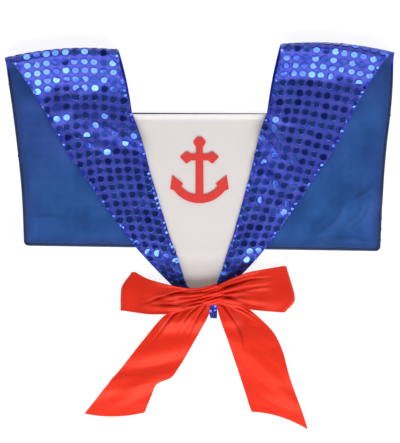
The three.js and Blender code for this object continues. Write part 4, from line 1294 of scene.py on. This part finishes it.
def add_knot():
    """The ribbon drawn across the middle of the bow and round behind it, gathered to the knot's length."""
    turn = np.linspace(0, 2 * math.pi, 121)[:, None]
    across = np.linspace(-1, 1, 141)[None, :]
    barrel = 1 - 0.34 * np.abs(across) ** 2.4
    lobe = (np.abs(np.cos(turn)) ** 2.6 + np.abs(np.sin(turn)) ** 2.6) ** (-1 / 2.6)
    behind = 1 - smooth(np.sin(turn), -0.4, 0.3)
    gather = (1.25 + 0.2 * behind) * np.cos(2 * math.pi * 1.45 * across + 1.3 * np.cos(turn) + 0.4)
    gather = gather + (0.75 + 1.0 * behind) * np.cos(2 * math.pi * 3.3 * across - 1.6 * np.cos(turn) + 1.7)
    gather = gather + 0.3 * (1 - behind) * np.cos(2 * math.pi * 2.3 * across + 4 * np.cos(turn))
    pinch = 1 - 0.12 * np.cos(turn) ** 2 * (1 - np.abs(across))
    along = -np.cos(turn) * lobe * ((KNOT_WIDTH / 2 - 1.6) * barrel**0.7 * pinch + 0.9 * gather)
    aside = (KNOT_LENGTH / 2 - 1.1) * across * (1 - 0.05 * np.cos(2 * turn))
    lean = math.radians(KNOT_LEAN)
    x = BOW_SIDE + along * math.cos(lean) + aside * math.sin(lean)
    down = knot_down - along * math.sin(lean) + aside * math.cos(lean)
    z = knot_bottom + KNOT_HEIGHT / 2 + np.sin(turn) * lobe * ((KNOT_HEIGHT / 2 - 1.9) * barrel + gather)
    points = grid(x, down, z)
    edge = (KNOT_LENGTH / 2) * (1 - np.abs(across)) + 0 * z
    half = RIBBON_HALF * rounded(edge, 0.5)
    flat = np.stack([RIBBON_WIDTH * across / 2 + 0 * z, 11 * turn + 0 * z], axis=-1)
    # Painted shade in the valleys of the gathers.
    painted_satin_shade = np.clip(0.24 - 0.22 * gather, 0, 1)
    wound = round(float(flat_places(points)[-1, :, 1].mean()) / 1000, 3)
    knot = add_cloth("bow_knot_band", points, half, half, SATIN, None, {"painted_satin_shade": painted_satin_shade}, flat)
    return finish_piece(knot, "satin_ribbon", "bow_knot"), wound


left_loop, left_loop_length = add_loop(
    "bow_loop_left", -1, LEFT_LOOP, LEFT_LOOP_SECTIONS, LEFT_LOOP_END, LEFT_LOOP_CREASES, 61
)
right_loop, right_loop_length = add_loop(
    "bow_loop_right", 1, RIGHT_LOOP, RIGHT_LOOP_SECTIONS, RIGHT_LOOP_END, RIGHT_LOOP_CREASES, 62
)
left_tail, left_tail_length = add_tail(
    "bow_tail_left", LEFT_TAIL, 0.075, LEFT_TAIL_SLANT, LEFT_TAIL_CREASES, LEFT_TAIL_RIDGES, 63
)
right_tail, right_tail_length = add_tail(
    "bow_tail_right", RIGHT_TAIL, -0.085, RIGHT_TAIL_SLANT, RIGHT_TAIL_CREASES, RIGHT_TAIL_RIDGES, 64
)
knot, knot_length = add_knot()

# The stage: floor, lights and camera

floor_mesh = bpy.data.meshes.new("floor")
floor_corners = [(-3, -3, -0.0004), (3, -3, -0.0004), (3, 3, -0.0004), (-3, 3, -0.0004)]
floor_mesh.from_pydata(floor_corners, [], [(0, 1, 2, 3)])
floor_finish = Finish("pale_floor").set(Base_Color=(0.3, 0.3, 0.3, 1), Roughness=0.9, Specular_IOR_Level=0.1)
floor_finish.set(Emission_Color=(1, 1, 1, 1), Emission_Strength=0.82)
floor_mesh.materials.append(floor_finish.material)
add_object("floor", floor_mesh)


def add_light(name, place, aim, size, watts):
    lamp = bpy.data.lights.new(name, "AREA")
    lamp.shape = "RECTANGLE"
    lamp.size, lamp.size_y = size
    lamp.energy = watts
    holder = add_object(name, lamp)
    holder.location = place
    holder.rotation_euler = (Vector(aim) - Vector(place)).to_track_quat("-Z", "Y").to_euler()


add_light("key", (0.3, -1.27, 1.62), (0, 0, 0), (1.7, 0.95), 24)
add_light("low_front", (0.2, -1.85, 0.86), (0, 0.1, 0), (2.2, 1.0), 19)
add_light("left_front", (-1.25, -0.95, 1.3), (0, 0, 0), (0.7, 0.5), 5)
add_light("right_front", (1.3, -0.9, 1.2), (0, 0, 0), (0.6, 0.5), 4)
add_light("back_fill", (0.2, 1.7, 1.0), (0, 0, 0), (2.0, 0.6), 10)
add_light("left_fill", (-1.8, 0.1, 0.8), (0, 0, 0), (1.2, 0.6), 5)
add_light("right_fill", (1.8, 0.0, 0.9), (0, 0, 0), (1.2, 0.7), 7)

# The world is light near the horizon and dark overhead.
world = bpy.data.worlds.new("studio")
world.use_nodes = True
bpy.context.scene.world = world
nodes, links = world.node_tree.nodes, world.node_tree.links
place = nodes.new("ShaderNodeTexCoord")
split = nodes.new("ShaderNodeSeparateXYZ")
ramp = nodes.new("ShaderNodeValToRGB")
links.new(place.outputs["Generated"], split.inputs[0])
links.new(split.outputs["Z"], ramp.inputs["Fac"])
links.new(ramp.outputs["Color"], nodes["Background"].inputs["Color"])
horizon, zenith = ramp.color_ramp.elements
horizon.position = 0.55
horizon.color = (0.75, 0.75, 0.76, 1)
zenith.position = 0.93
zenith.color = (0.045, 0.045, 0.055, 1)
nodes["Background"].inputs["Strength"].default_value = 0.6

CAMERA_HEIGHT = 2.0
CLOTH_LEVEL = 0.006  # the height of the cloth that the picture is scaled at
IMAGE_HEIGHT = 0.443  # in metres, of what the picture shows at the cloth's level
camera_data = bpy.data.cameras.new("camera")
camera_data.sensor_width = 36
camera_data.lens = 36 * (CAMERA_HEIGHT - CLOTH_LEVEL) / IMAGE_HEIGHT
camera = add_object("camera", camera_data)
camera.location = (0.0005, 0.015, CAMERA_HEIGHT)
bpy.context.scene.camera = camera
bpy.context.scene.view_settings.view_transform = "Standard"
